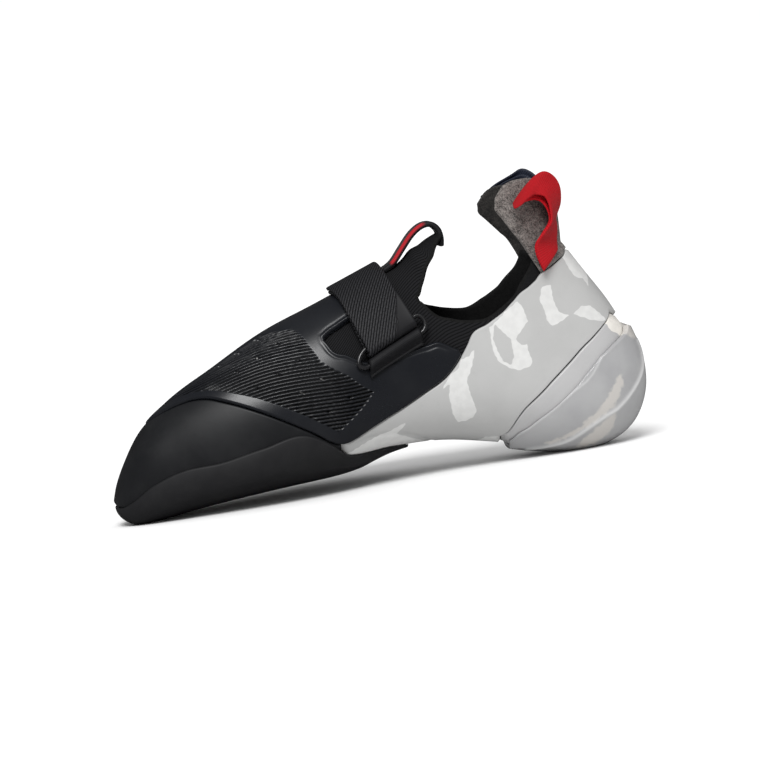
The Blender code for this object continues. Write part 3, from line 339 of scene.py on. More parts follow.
@lru_cache(maxsize=None)
def section(station):
    """Half sections of the last at a station: {side: (girth shares, points, girth)}."""
    row = [curve_value(SECTIONS, column, station) for column in range(1, 14)]
    bottom_x, top_x, bottom_z, depth, medial, lateral, bottom_y, top_y = row[:8]
    high_medial, high_lateral, square_low, square_medial, square_lateral = row[8:]
    x_low = (bottom_x - HEEL_REST_SHARE) * LENGTH
    x_high = (top_x - HEEL_REST_SHARE) * LENGTH
    z_low = bottom_z * HEEL_HEIGHT
    z_high = z_low + depth * INSTEP_DEPTH
    quarter = np.linspace(0.0, math.pi / 2, 181)
    sides = {}
    for side, edge, high, square in (
        (-1, medial, high_medial, square_medial),
        (1, lateral, high_lateral, square_lateral),
    ):
        low_y = bottom_y + (edge - bottom_y) * np.sin(quarter) ** (2 / square_low)
        low_h = high * (1 - np.abs(np.cos(quarter)) ** (2 / square_low))
        high_y = top_y + (edge - top_y) * np.abs(np.cos(quarter)) ** (2 / square)
        high_h = high + (1 - high) * np.sin(quarter) ** (2 / square)
        y = np.concatenate([low_y, high_y[1:]]) * BALL_WIDTH
        h = np.concatenate([low_h, high_h[1:]])
        points = np.stack([x_low + (x_high - x_low) * h, y, z_low + (z_high - z_low) * h], axis=1)
        along = np.concatenate([[0.0], np.cumsum(np.linalg.norm(np.diff(points, axis=0), axis=1))])
        sides[side] = (along / max(along[-1], 1e-9), points, along[-1])
    return sides


def unit(vectors):
    return vectors / np.maximum(np.linalg.norm(vectors, axis=-1, keepdims=True), 1e-12)


def rounded_edge(away, rounding, edge):
    """Share of a sheet's height at a distance from its rim, where edge is the share at the rim itself."""
    near = np.clip(away / rounding, 0, 1)
    return edge + (1 - edge) * np.sqrt(1 - (1 - near) ** 2)


def last_grid():
    """The last on a fine grid: place, outward normal and length round from the sole's centre."""
    girths = np.linspace(-1, 1, LAST_COLUMNS)
    places = np.empty((LAST_ROWS, LAST_COLUMNS, 3))
    arcs = np.empty((LAST_ROWS, LAST_COLUMNS, 1))
    for i, station in enumerate(np.linspace(0, 1, LAST_ROWS)):
        for side, (shares, points, girth) in section(station).items():
            pick = girths < 0 if side < 0 else girths >= 0
            at = np.abs(girths[pick])
            places[i, pick] = np.stack([np.interp(at, shares, points[:, k]) for k in range(3)], axis=1)
            arcs[i, pick, 0] = at * girth
    column = np.arange(LAST_COLUMNS)
    period = LAST_COLUMNS - 1
    around = places[:, (column + 3) % period] - places[:, (column - 3) % period]
    row = np.arange(LAST_ROWS)
    along = places[np.minimum(row + 2, LAST_ROWS - 1)] - places[np.maximum(row - 2, 0)]
    normals = unit(np.cross(around, along))
    normals[0] = unit(normals[3].mean(axis=0))
    return np.concatenate([places, normals, arcs], axis=2)


LAST = None


def look_up(station, girth):
    """Rows of the fine grid at stations and girths, which may be arrays."""
    station, girth = np.broadcast_arrays(np.asarray(station, float), np.asarray(girth, float))
    row = np.clip(station, 0, 1) * (LAST_ROWS - 1)
    column = ((girth + 1) % 2) * (LAST_COLUMNS - 1) / 2
    i = np.minimum(row.astype(int), LAST_ROWS - 2)
    j = np.minimum(column.astype(int), LAST_COLUMNS - 2)
    t, u = (row - i)[..., None], (column - j)[..., None]
    return ((1 - t) * ((1 - u) * LAST[i, j] + u * LAST[i, j + 1])
            + t * ((1 - u) * LAST[i + 1, j] + u * LAST[i + 1, j + 1]))


def above_last(station, girth, height=0.0):
    """Places above the last. Girth runs 0 at the sole's centre to 1 at the ridge, lateral +, medial -."""
    found = look_up(station, girth)
    return found[..., :3] + unit(found[..., 3:6]) * np.asarray(height)[..., None]


def table_line(table, column, at):
    """One column of a table at many places."""
    return np.array([curve_value(table, column, s) for s in np.atleast_1d(at)])


def both(table, station, shift=0.0):
    """Medial and lateral girth of an edge table, moved by a share."""
    return curve_value(table, 1, station) + shift, curve_value(table, -1, station) + shift


def girth_gap(station):
    """The gap between neighbours, as a girth share."""
    sides = section(round(station, 6))
    return GAP / min(sides[-1][2], sides[1][2])


def spread(start, end, count):
    """count even steps from start to end."""
    return [start + (end - start) * k / count for k in range(count + 1)]


def eased(start, end, count, ease=0.6):
    """count steps from start to end, closer together near both ends."""
    t = np.linspace(0, 1, count + 1)
    t = (1 - ease) * t + ease * (3 * t * t - 2 * t ** 3)
    return start + (end - start) * t


def smooth_step(low, high, value):
    t = np.clip((value - low) / (high - low), 0, 1)
    return t * t * (3 - 2 * t)


def add_mesh(name, points, faces, material, marks):
    """A smooth mesh object. marks are named float values or vectors on its points."""
    mesh = bpy.data.meshes.new(name)
    mesh.from_pydata(np.asarray(points).tolist(), [], faces)
    mesh.update()
    mesh.shade_smooth()
    for key, values in marks.items():
        values = np.asarray(values, np.float32)
        vector = values.ndim == 2
        mark = mesh.attributes.new(key, "FLOAT_VECTOR" if vector else "FLOAT", "POINT")
        mark.data.foreach_set("vector" if vector else "value", values.ravel())
    mesh.materials.append(material)
    piece = bpy.data.objects.new(name, mesh)
    bpy.context.scene.collection.objects.link(piece)
    return piece


def stands_for(piece, node, slot):
    """Puts a piece in place of a solid. Nothing on the shoe moves, so all ride on the root."""
    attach(piece, "root")
    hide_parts(node)
    return piece


def rim_distance(points, edges):
    """Distance of each point from the rim, whose edges are pairs of point numbers."""
    steps = np.linspace(0, 1, 5)[:-1]
    starts, ends = points[edges[:, 0]], points[edges[:, 1]]
    marks = np.concatenate([starts + (ends - starts) * t for t in steps])
    tree = kdtree.KDTree(len(marks))
    for k, mark in enumerate(marks):
        tree.insert(mark, k)
    tree.balance()
    return np.array([tree.find(point)[2] for point in points])


def skin(name, stations, lines, low, high, material, rounding=0.0008, keep=None, relief=None, backed=True,
         on_floor=False, marks=None, both_ways=False, shift=None):
    """A sheet on the last between heights low and high, with rounded edges.

    lines gives the girths at a station, relief adds to the outer height, and keep picks cells by the
    station and column. both_ways rounds the inner side too, and shift moves both sides.
    """
    stations = np.asarray(stations, float)
    girths = np.array([np.asarray(lines(s), float) for s in stations])
    rows, columns = girths.shape
    at = np.repeat(stations[:, None], columns, axis=1)
    turn = np.round((girths + 1) * 1e6).astype(np.int64) % 2_000_000
    key = np.round(at * 1e6).astype(np.int64) * 4_000_000 + turn
    key[at < 1e-9] = -1
    _, first, index = np.unique(key, return_index=True, return_inverse=True)
    index = index.reshape(rows, columns)
    cells = np.stack([index[:-1, :-1], index[:-1, 1:], index[1:, 1:], index[1:, :-1]], axis=-1)
    if keep is not None:
        middle = 0.5 * (stations[1:] + stations[:-1])
        kept = np.array([[keep(s, j) for j in range(columns - 1)] for s in middle])
        cells = cells[kept]
    cells = cells.reshape(-1, 4)
    used, cells = np.unique(cells, return_inverse=True)
    cells = cells.reshape(-1, 4)
    s, g = at.ravel()[first][used], ((girths.ravel()[first][used] + 1) % 2) - 1
    faces = [[v for k, v in enumerate(cell) if v != cell[k - 1]] for cell in cells.tolist()]
    faces = [f for f in faces if len(f) > 2]
    edges = np.array([(f[k - 1], f[k]) for f in faces for k in range(len(f))])
    count = len(s)
    forward, backward = edges[:, 0] * count + edges[:, 1], edges[:, 1] * count + edges[:, 0]
    rim = edges[~np.isin(forward, backward)]
    ground = above_last(s, g)
    away = rim_distance(ground, rim) if len(rim) else np.full(count, 1.0)
    rounded = rounded_edge(away, rounding, EDGE_SHARE)
    top = np.broadcast_to(high(s, g) if callable(high) else high, s.shape)
    middle = 0.5 * (low + top)
    if both_ways:
        outer, inner = middle + (top - middle) * rounded, middle + (low - middle) * rounded
    else:
        outer, inner = low + (top - low) * rounded, np.full(count, low)
    if relief is not None:
        rise = relief(s, g, ground, away)
        outer, inner = outer + rise, inner + rise * both_ways
    outside = above_last(s, g, outer)
    if on_floor:
        outside[:, 2] = np.maximum(outside[:, 2], 0.0)
    inside = above_last(s, g, inner)
    if shift is not None:
        outside, inside = outside + shift(s, g), inside + shift(s, g)
    arc = look_up(s, g)[:, 6]
    given = {"lie": np.stack([s * LENGTH * 900, np.sign(g) * arc * 1000, away * 1000], axis=1)}
    for mark, rule in (marks or {}).items():
        given[mark] = rule(s, g, ground, away)
    if backed:
        points = np.concatenate([outside, inside])
        floor = [[v + count for v in reversed(f)] for f in faces]
        walls = [[b, a, a + count, b + count] for a, b in rim.tolist()]
        faces = faces + floor + walls
        given = {mark: np.concatenate([value, value]) for mark, value in given.items()}
        given["inner"] = np.concatenate([np.zeros(count), np.ones(count)])
    else:
        ring = np.unique(rim)
        place = {v: count + k for k, v in enumerate(ring.tolist())}
        points = np.concatenate([outside, inside[ring]])
        faces = faces + [[b, a, place[a], place[b]] for a, b in rim.tolist()]
        given = {mark: np.concatenate([value, value[ring]]) for mark, value in given.items()}
    return add_mesh(name, points, faces, material, given)


def band(name, grid, wall, material, rounding=0.0005, edge=EDGE_SHARE, marks=None):
    """A closed band through a fine grid of places, rows along it and columns across it, edges rounded."""
    grid = np.asarray(grid, float)
    rows, columns = grid.shape[:2]
    normals = unit(np.cross(np.gradient(grid, axis=0), np.gradient(grid, axis=1)))
    across = np.concatenate([np.zeros((rows, 1)),
                             np.cumsum(np.linalg.norm(np.diff(grid, axis=1), axis=2), axis=1)], axis=1)
    along = np.concatenate([[0.0], np.cumsum(np.linalg.norm(np.diff(grid[:, columns // 2], axis=0), axis=1))])
    along = np.repeat(along[:, None], columns, axis=1)
    away = np.minimum(across, across[:, -1:] - across)
    away = np.minimum(away, np.minimum(along, along[-1] - along))
    half = wall / 2 * rounded_edge(away, rounding, edge)
    top = (grid + normals * half[..., None]).reshape(-1, 3)
    low = (grid - normals * half[..., None]).reshape(-1, 3)
    count = rows * columns
    index = np.arange(count).reshape(rows, columns)
    a, b = index[:-1, :-1].ravel(), index[:-1, 1:].ravel()
    c, d = index[1:, 1:].ravel(), index[1:, :-1].ravel()
    upper = np.stack([d, c, b, a], axis=1)
    lower = np.stack([a, b, c, d], axis=1) + count
    ring = np.concatenate([index[:, 0], index[-1, 1:], index[-2::-1, -1], index[0, -2:0:-1]])
    after = np.roll(ring, -1)
    walls = np.stack([ring, ring + count, after + count, after], axis=1)
    faces = np.concatenate([upper, lower, walls]).tolist()
    centred = across - across[:, -1:] / 2
    lie = np.stack([along * 1000, centred * 1000, away * 1000], axis=2).reshape(-1, 3)
    side = np.concatenate([np.ones(count), np.zeros(count)])
    places = np.concatenate([top, low])
    given = {"lie": np.concatenate([lie, lie]), "outer": side}
    given.update({mark: rule(places) for mark, rule in (marks or {}).items()})
    return face_out(add_mesh(name, places, faces, material, given))


def signed_volume(mesh):
    """Positive where the faces point outwards."""
    count = len(mesh.vertices)
    points = np.empty(count * 3, np.float32)
    mesh.vertices.foreach_get("co", points)
    points = points.reshape(-1, 3)
    corners = np.array([p.vertices[:3] for p in mesh.polygons])
    far = np.array([[p.vertices[0], p.vertices[-2], p.vertices[-1]] for p in mesh.polygons])
    total = 0.0
    for group in (corners, far):
        a, b, c = points[group[:, 0]], points[group[:, 1]], points[group[:, 2]]
        total += float((a * np.cross(b, c)).sum())
    return total


def face_out(piece):
    """Turns the faces of a closed piece outwards."""
    if signed_volume(piece.data) < 0:
        piece.data.flip_normals()
    return piece


def tube(name, path, ups, radius, material, sides=20):
    """A closed round wire along a closed path, with the direction of its upper side."""
    path = np.asarray(path, float)
    count = len(path)
    along = unit(np.roll(path, -1, axis=0) - np.roll(path, 1, axis=0))
    aside = unit(np.cross(along, ups))
    up = np.cross(aside, along)
    angle = np.linspace(0, 2 * math.pi, sides, endpoint=False)
    points = (path[:, None] + radius * (aside[:, None] * np.cos(angle)[None, :, None]
                                        + up[:, None] * np.sin(angle)[None, :, None])).reshape(-1, 3)
    faces = []
    for k in range(count):
        for j in range(sides):
            a, b = k * sides + j, k * sides + (j + 1) % sides
            faces.append([a, b, (b + sides) % (count * sides), (a + sides) % (count * sides)])
    lie = np.zeros((count * sides, 3))
    return face_out(add_mesh(name, points, faces, material, {"lie": lie}))


def stretch_distance(x, z, start, end):
    """Distance in the side view from one straight stretch."""
    (x0, z0), (x1, z1) = start, end
    t = np.clip(((x - x0) * (x1 - x0) + (z - z0) * (z1 - z0)) / ((x1 - x0) ** 2 + (z1 - z0) ** 2), 0, 1)
    return np.hypot(x - x0 - t * (x1 - x0), z - z0 - t * (z1 - z0))


def outline_distance(x, z, outline):
    """Signed distance in the side view from a closed outline, positive inside."""
    corners = np.asarray(outline, float)
    ends = np.roll(corners, -1, axis=0)
    nearest = np.full(x.shape, 1e9)
    inside = np.zeros(x.shape, bool)
    for (x0, z0), (x1, z1) in zip(corners, ends):
        nearest = np.minimum(nearest, stretch_distance(x, z, (x0, z0), (x1, z1)))
        crosses = (z0 > z) != (z1 > z)
        with np.errstate(divide="ignore", invalid="ignore"):
            inside ^= crosses & (x < (x1 - x0) * (z - z0) / (z1 - z0) + x0)
    return np.where(inside, nearest, -nearest)


def line_distance(x, z, line):
    """Distance in the side view from an open line."""
    nearest = np.full(x.shape, 1e9)
    for start, end in zip(line, line[1:]):
        nearest = np.minimum(nearest, stretch_distance(x, z, start, end))
    return nearest


def smooth_line(line, steps=8):
    """A given line with smooth bends."""
    rows = [(k, *point) for k, point in enumerate(line)]
    return [(curve_value(rows, 1, k / steps), curve_value(rows, 2, k / steps))
            for k in range((len(line) - 1) * steps + 1)]


def lines_of(*parts):
    """Joins runs of girths, each given as start, end and count."""
    runs = [eased(*part) for part in parts]
    return np.concatenate([runs[0]] + [run[1:] for run in runs[1:]])


def build_upper(material):
    """Knitted bootie with its tongue, open at the collar and under the foot."""
    side, step, top = 44, 4, 36     # columns under the collar, across its edge, and on the tongue
    stations = [*np.linspace(0, 0.40, 60), *np.linspace(0.40, COLLAR_BACK, 200)[1:]]

    def lines(s):
        feather_m, feather_l = both(FEATHER_EDGE, s) if 0.05 < s < 0.79 else (0.0, 0.0)
        collar_m, collar_l = both(COLLAR_EDGE, s)
        tongue_m, tongue_l = both(TONGUE_EDGE, s)
        return lines_of((feather_l, collar_l, side), (collar_l, tongue_l, step),
                        (tongue_l, 2 - tongue_m, top),
                        (2 - tongue_m, 2 - collar_m, step), (2 - collar_m, 2 - feather_m, side))

    def keep(s, column):
        if s < THROAT_STATION:
            return True
        across = abs(column + 0.5 - (side + step + top / 2))
        return s < TONGUE_TIP if across < top / 2 else across > top / 2 + step

    def on_ridge(g):
        return smooth_step(0.80, 0.95, np.abs(g))

    def relief(s, g, ground, away):
        return TONGUE_LIFT * 0.5 * (smooth_step(0.59, 0.72, s) + smooth_step(0.76, 0.92, s)) * on_ridge(g)

    def shift(s, g):
        back = TONGUE_REACH * smooth_step(0.80, TONGUE_TIP, s) * on_ridge(g)
        return np.stack([back, 0 * back, 0 * back], axis=1)

    return skin("bootie", stations, lines, -KNIT_WALL, 0.0, material, 0.0011, keep, relief, both_ways=True,
                shift=shift)


def build_insole(material):
    """The board under the foot, inside the bootie."""
    stations = np.linspace(*INSOLE_SPAN, 90)

    def lines(s):
        medial, lateral = both(FEATHER_EDGE, s, -1.3 * girth_gap(s))
        return lines_of((-medial, lateral, 40))

    return skin("footbed", stations, lines, -GAP / 2 - INSOLE_WALL, -GAP / 2, material, both_ways=True)


def build_toe_rand(material):
    """Rubber cup round the toe and under the ball, up to the toe patch."""
    stations = [*eased(0.0, PATCH_START, 50), *eased(PATCH_START + 0.0008, SHANK_JOIN - STATION_GAP, 110)]

    def lines(s):
        medial, lateral = both(RAND_EDGE, s, -girth_gap(s) / 2) if s > PATCH_START else (1.0, 1.0)
        sole_m, sole_l = both(SOLE_EDGE, s)
        return lines_of((-medial, -sole_m, 40), (-sole_m, sole_l, 60), (sole_l, lateral, 40))

    return skin("toe_band", stations, lines, RAND_IN, RAND_OUT, material, 0.0009)


def rib_height(s, g):
    """Height of a point up the shoe's side, measured along the skin, less the run of the ribs."""
    side = np.where(g >= 0, 1, -1)
    middle = look_up(s, 0.55 * side)
    height = middle[:, 2] + look_up(s, g)[:, 6] - middle[:, 6]
    xs = np.linspace(-0.22, -0.08, 141)
    slope = np.interp(xs, [x for x, _ in RIB_SLOPE], [v for _, v in RIB_SLOPE])
    run = np.concatenate([[0.0], np.cumsum(0.5 * (slope[1:] + slope[:-1]) * np.diff(xs))])
    return height - np.interp(middle[:, 0], xs, run)


def patch_marks(s, g, ground):
    """Ribs and slits of the toe patch: how deep each is cut at each point, 0 to 1."""
    girth = np.abs(g)
    around = look_up(s, g)[:, 6] / np.maximum(girth, 1e-6)
    low = np.interp(s, [r[0] for r in FIELD_LOW], [r[1] for r in FIELD_LOW])
    back = np.interp(s, [r[0] for r in FIELD_BACK], [r[1] for r in FIELD_BACK])
    inside = np.minimum(girth - low, back - girth) * around
    inside = np.minimum(inside, (s - FIELD_START) * LENGTH * 0.9)
    field = smooth_step(0.0, 0.0004, inside)
    phase = rib_height(s, g) / RIB_PITCH
    groove = smooth_step(0.32, 0.72, 0.5 + 0.5 * np.cos(2 * math.pi * phase))
    fade = 1 - 0.85 * smooth_step(0.90, 0.99, girth)
    cut = groove * field * fade
    slit = np.zeros_like(cut)
    arc = look_up(s, g)[:, 6]
    for side in (-1, 1):
        here = np.flatnonzero(np.sign(g) == side)
        for (x0, z0), count in SLIT_ROWS:
            for k in range(count):
                x, z = x0 + k * SLIT_STEP[0], z0 + k * SLIT_STEP[1]
                centre = here[np.argmin((ground[here, 0] - x) ** 2 + (ground[here, 2] - z) ** 2)]
                along, across = ground[here, 0] - ground[centre, 0], arc[here] - arc[centre]
                u, v = 0.75 * along - 0.66 * across, 0.66 * along + 0.75 * across
                slit[here] = np.maximum(slit[here], smooth_step(1.0, 0.6, np.hypot(u / 0.0015, v / 0.0004)))
    return cut, slit


def build_toe_patch(material):
    """Moulded rubber over the toes with its ribbed field, the band over the instep and the side panels."""
    # Columns in a side, in the strip that the notch is cut from, and on top
    side, cut, top = 136, 24, 140
    stations = [*eased(PATCH_START + STATION_GAP, NOTCH_STATION, 130, 0.2),
                *np.linspace(NOTCH_STATION, NOTCH_CORNER, 9)[1:],
                *eased(NOTCH_CORNER, PANEL_END, 110, 0.4)[1:]]

    def lines(s):
        half_gap = girth_gap(s) / 2
        medial, lateral = both(RAND_EDGE, s, half_gap)
        low, high = curve_value(PATCH_NOTCH, 1, s), curve_value(PATCH_NOTCH, 2, s)
        medial, lateral = min(medial, 0.995), min(lateral, 0.995)
        inner_m, inner_l = 1 - medial, 1 - lateral
        low_l, high_l = lateral + low * inner_l, lateral + high * inner_l
        low_m, high_m = medial + low * inner_m, medial + high * inner_m
        return lines_of((lateral, low_l, side, 0.1), (low_l, high_l, cut, 0), (high_l, 2 - high_m, top, 0.1),
                        (2 - high_m, 2 - low_m, cut, 0), (2 - low_m, 2 - medial, side, 0.1))

    def keep(s, column):
        if s < NOTCH_STATION:
            return True
        across = abs(column + 0.5 - (side + cut + top / 2))
        return s < BAND_END if across < top / 2 else across > top / 2 + cut

    def relief(s, g, ground, away):
        cut, slit = patch_marks(s, g, ground)
        girth = np.abs(g)
        rand = np.interp(s, [r[0] for r in RAND_EDGE], [0.5 * (r[1] + r[2]) for r in RAND_EDGE])
        upper_edge = smooth_step(0.05, 0.10, girth - rand) * smooth_step(0.385, NOTCH_STATION, s)
        lip = np.exp(-((away - 0.0010) / 0.0006) ** 2) - 0.7 * np.exp(-((away - 0.0024) / 0.0006) ** 2)
        return -RIB_DEPTH * cut - SLIT_DEPTH * slit + LIP_HEIGHT * lip * upper_edge

    def marks(which):
        return lambda s, g, ground, away: patch_marks(s, g, ground)[which]

    return skin("moulded_patch", stations, lines, GAP, PATCH_OUT, material, 0.0012, keep, relief,
                backed=False, marks={"cut": marks(0), "slit": marks(1)})


def build_outsole(material):
    """Half sole from the toe to the arch, thick underneath and skived to an edge up the sides."""
    stations = eased(*SOLE_SPAN, 170)

    def lines(s):
        edge_m, edge_l = both(SOLE_EDGE, s)
        return lines_of((-edge_m, 0.0, 80), (0.0, edge_l, 80))

    def high(s, g):
        crease, edge = (np.where(g < 0, table_line(table, 1, s), table_line(table, 2, s))
                        for table in (SOLE_CREASE, SOLE_EDGE))
        share = np.clip((np.abs(g) - crease) / (edge - crease), 0.0, 1.0)
        (start, end), (full_from, full_to) = SOLE_SPAN, SOLE_FULL_SPAN
        front, back = (full_from - s) / (full_from - start), (s - full_to) / (end - full_to)
        ends = np.maximum(np.maximum(front, back), 0.0)
        return SOLE_IN + SOLE_WALL + (SOLE_EDGE_WALL - SOLE_WALL) * np.maximum(share, ends)

    return skin("sole", stations, lines, SOLE_IN, high, material, 0.0007, on_floor=True)


def pale_patches(outlines_side, outlines_round):
    """Signed distance from the pale patches, in mm, positive inside them."""
    def rule(s, g, ground, away):
        x, _, z = ground.T * 1000
        wave = 0.12 * np.sin(x * 1.7 + z * 0.9) + 0.10 * np.sin(z * 2.3 - x * 0.6)
        far = np.full(x.shape, -50.0)
        near_side = g < 0
        for outline in outlines_side:
            here = outline_distance(x, z, outline)
            # The far side has the same patches, turned round and moved
            across = outline_distance(-58 - 0.9 * x, z * 1.02 + 2 + 0.33 * (x + 30), outline)
            far = np.maximum(far, np.where(near_side, here, across))
        far = np.where(near_side, np.minimum(far, -outline_distance(x, z, GREY_ISLAND)), far)
        for outline in outlines_round:
            far = np.maximum(far, outline_distance(x, z, outline))
        return far + wave
    return rule


def build_heel_rand(material):
    """Tensioned rand from the arch round the heel, with a window for the heel base."""
    side, window = 60, 44     # columns in a side and in the window
    stations = [SHANK_JOIN, NOTCH_CORNER, *eased(NOTCH_CORNER, WINDOW_START, 90, 0.3)[1:],
                *eased(WINDOW_START, WINDOW_END, 130, 0.4)[1:],
                *eased(WINDOW_END, RAND_TOP_STATION, 36, 0.4)[1:]]

    def lines(s):
        clearance = girth_gap(s) / 2
        top_m, top_l = both(RAND_EDGE, s, -clearance)
        seam_m, seam_l = both(HEEL_SEAM, s, clearance)
        return lines_of((-top_m, -seam_m, side, 0.5), (-seam_m, seam_l, window, 0.4),
                        (seam_l, top_l, side, 0.5))

    def keep(s, column):
        return not (WINDOW_START < s < WINDOW_END and side <= column < side + window)

    def relief(s, g, ground, away):
        x, z = ground[:, 0] * 1000, ground[:, 2] * 1000
        # A shallow groove along the arch
        seam = np.abs(z - (24.5 - 0.0125 * (x + 97) ** 2))
        groove = np.exp(-(seam / 0.7) ** 2) * smooth_step(-62, -70, x) * smooth_step(-118, -112, x)
        return -0.0004 * groove

    return skin("sling_rand", stations, lines, RAND_IN, RAND_OUT, material, 0.0005, keep, relief,
                marks={"pale": pale_patches(PALE_SIDE, PALE_ROUND)})


def build_heel_base(material):
    """The rubber that fills the rand's window, seen through the cup."""
    stations = [WINDOW_START + STATION_GAP, *eased(CUP_START, CUP_END, 110, 0.3), WINDOW_END - STATION_GAP]

    def lines(s):
        medial, lateral = both(HEEL_SEAM, s, -girth_gap(s) / 2)
        return lines_of((-medial, lateral, 120, 0.4))

    return skin("heel_block", stations, lines, RAND_IN, RAND_OUT, material, 0.0004, backed=False,
                marks={"pale": pale_patches((), CREAM_BASE)})


def build_heel_cup(material):
    """Clear moulded cup over the heel base, with its raised crease."""
    stations = eased(CUP_START, CUP_END, 150, 0.4)

    def lines(s):
        medial, lateral = both(CUP_EDGE, s)
        return lines_of((-medial, lateral, 150, 0.4))

    def high(s, g):
        edge = table_line(CUP_EDGE, 1, s)
        share = np.clip((np.abs(g) / edge - 0.5) / 0.5, 0.0, 1.0)
        lip = np.clip((s - CUP_LIP_SPAN[0]) / (CUP_LIP_SPAN[1] - CUP_LIP_SPAN[0]), 0.0, 1.0)
        return SOLE_IN + CUP_WALL + (CUP_EDGE_WALL - CUP_WALL) * share * (1 - lip) + CUP_LIP * lip

    def ridge(line, half):
        def rule(s, g, ground, away):
            x, z = ground[:, 0] * 1000, ground[:, 2] * 1000
            return np.exp(-(line_distance(x, z, smooth_line(line)) / half) ** 2)
        return rule

    crease, fine_line = ridge(CUP_CREASE, 0.8), ridge(CUP_LINE, 0.5)

    def relief(*at):
        return 0.00045 * crease(*at) + 0.00015 * fine_line(*at)

    return skin("clear_cup", stations, lines, SOLE_IN, high, material, 0.0007, relief=relief, on_floor=True,
                marks={"crease": crease, "fine_line": fine_line, "pale": pale_patches((), CREAM_BASE)})


def strap_height(girth):
    """Middle of the strap's under layer above the last: on the knit low down, over the band on top."""
    start, climb = KNIT_TO_BAND
    share = min(max((abs(girth) - start) / climb, 0.0), 1.0)
    share = share * share * (3 - 2 * share)
    return STRAP_ON_KNIT + (STRAP_ON_PATCH - STRAP_ON_KNIT) * share


def ring_tilt(station):
    """Girth by which the ring and all that it holds hang lower towards the toe."""
    return RING_TILT * (RING_BACK - np.asarray(station)) / (RING_BACK - RING_FRONT)


def strap_row(girth, height, columns=36):
    """Points across the strap at one girth, on the medial side where girth is negative."""
    at = min(max(abs(girth), STRAP_EDGES[0][0]), 1.0)
    front, back = (curve_value(STRAP_EDGES, column, at) for column in (1, 2))
    stations = np.linspace(front, back, columns)
    drop = ring_tilt(stations) * float(smooth_step(0.96, UPPER_BAR, at)) if girth < 0 else 0.0
    return above_last(stations, girth + drop, height)


def build_strap(material):
    """One strap: lateral anchor, over the instep, round the ring's upper bar and back over itself."""
    # Painted shade: marks where the strap turns away at a crease and is painted plain and dark.
    def crease_shade(places):
        x, y, z = places.T * 1000
        return smooth_step(-0.3, 0.3, outline_distance(x, z, STRAP_CREASE_SHADE)) * (y < 0)

    half_girth = section(RING_STATION)[-1][2]
    turn = RING_WIRE / 2 + GAP + STRAP_WALL / 2
    rows = [strap_row(girth, strap_height(girth)) for girth in spread(STRAP_ANCHOR, 1.0, 40)]
    under = spread(0.994, 0.72, 34)
    sag = RING_LIFT - turn - STRAP_ON_PATCH
    taut = {g: float(np.clip((STRAP_OFF_BAND - g) / (STRAP_OFF_BAND - UPPER_BAR), 0.0, 1.0)) for g in under}
    rows += [strap_row(-girth, STRAP_ON_PATCH + sag * taut[girth]) for girth in under]
    for k in range(25):
        angle = math.pi * k / 24
        girth = UPPER_BAR - STRAP_SLACK - turn * math.sin(angle) / half_girth
        rows.append(strap_row(-girth, RING_LIFT - turn * math.cos(angle)))
    rows.append(strap_row(-(UPPER_BAR + 0.006), RING_LIFT + turn))
    rise = RING_LIFT + turn - STRAP_ON_PATCH - STRAP_LAYER
    rows += [strap_row(-girth, STRAP_ON_PATCH + STRAP_LAYER + rise * taut[girth]) for girth in under[::-1]]
    over = spread(STRAP_FREE_END, 1.0, 30)[::-1]
    rows += [strap_row(girth, strap_height(girth) + STRAP_LAYER) for girth in over]
    return band("webbing_strap", rows, STRAP_WALL, material, 0.0004, edge=0.8, marks={"crease_shade": crease_shade})


def ring_path():
    """Centre line of the ring as (station, girth) pairs, a rectangle with round corners."""
    corner_s, corner_g = RING_CORNER
    front, back = RING_FRONT + corner_s, RING_BACK - corner_s
    low, high = LOWER_BAR + corner_g, UPPER_BAR - corner_g
    bends = [[(s + corner_s * math.cos(angle), g + corner_g * math.sin(angle))
              for angle in spread(math.radians(start), math.radians(start + 90), 16)]
             for s, g, start in ((front, high, 90), (front, low, 180), (back, low, 270), (back, high, 0))]
    path = []
    for k, bend in enumerate(bends):
        (s0, g0), (s1, g1) = bend[-1], bends[(k + 1) % 4][0]
        path += bend + [(s0 + (s1 - s0) * t, g0 + (g1 - g0) * t) for t in np.linspace(0, 1, 25)[1:-1]]
    return path


def build_ring(material):
    """The wire ring, hung from the strap's fold and its own tab."""
    path = np.array(ring_path())
    path[:, 1] -= ring_tilt(path[:, 0])
    centres = above_last(path[:, 0], -path[:, 1], RING_LIFT)
    for _ in range(3):
        centres = (np.roll(centres, 1, axis=0) + 2 * centres + np.roll(centres, -1, axis=0)) / 4
    ups = look_up(path[:, 0], -path[:, 1])[:, 3:6]
    return tube("wire_ring", centres, ups, RING_WIRE / 2, material)


def build_ring_tab(material):
    """Short tab that holds the ring's lower bar to the side panel."""
    half_girth = section(RING_STATION)[-1][2]
    turn = RING_WIRE / 2 + GAP + RING_TAB_WALL / 2
    on_knit = GAP + RING_TAB_WALL / 2
    on_panel = PATCH_OUT + GAP + RING_TAB_WALL / 2
    stations = np.linspace(*HOLDER_SPAN, 30)

    def row(girth, height):
        return above_last(stations, ring_tilt(stations) - girth, height)

    rows = [row(LOWER_BAR - 0.004 + 0.011 * t, on_knit + 0.0004 * t) for t in np.linspace(0, 1, 4)]
    for angle in math.pi / 8 * np.linspace(1, 10, 28):
        last = (LOWER_BAR + turn * math.sin(angle) / half_girth, RING_LIFT - turn * math.cos(angle))
        rows.append(row(*last))
    for end in ((LOWER_BAR - 0.034, on_panel + 0.0002), (LOWER_BAR - 0.046, on_panel)):
        rows += [row(last[0] + (end[0] - last[0]) * t, last[1] + (end[1] - last[1]) * t)
                 for t in np.linspace(0, 1, 7)[1:]]
        last = end
    return band("ring_holder", rows, RING_TAB_WALL, material)


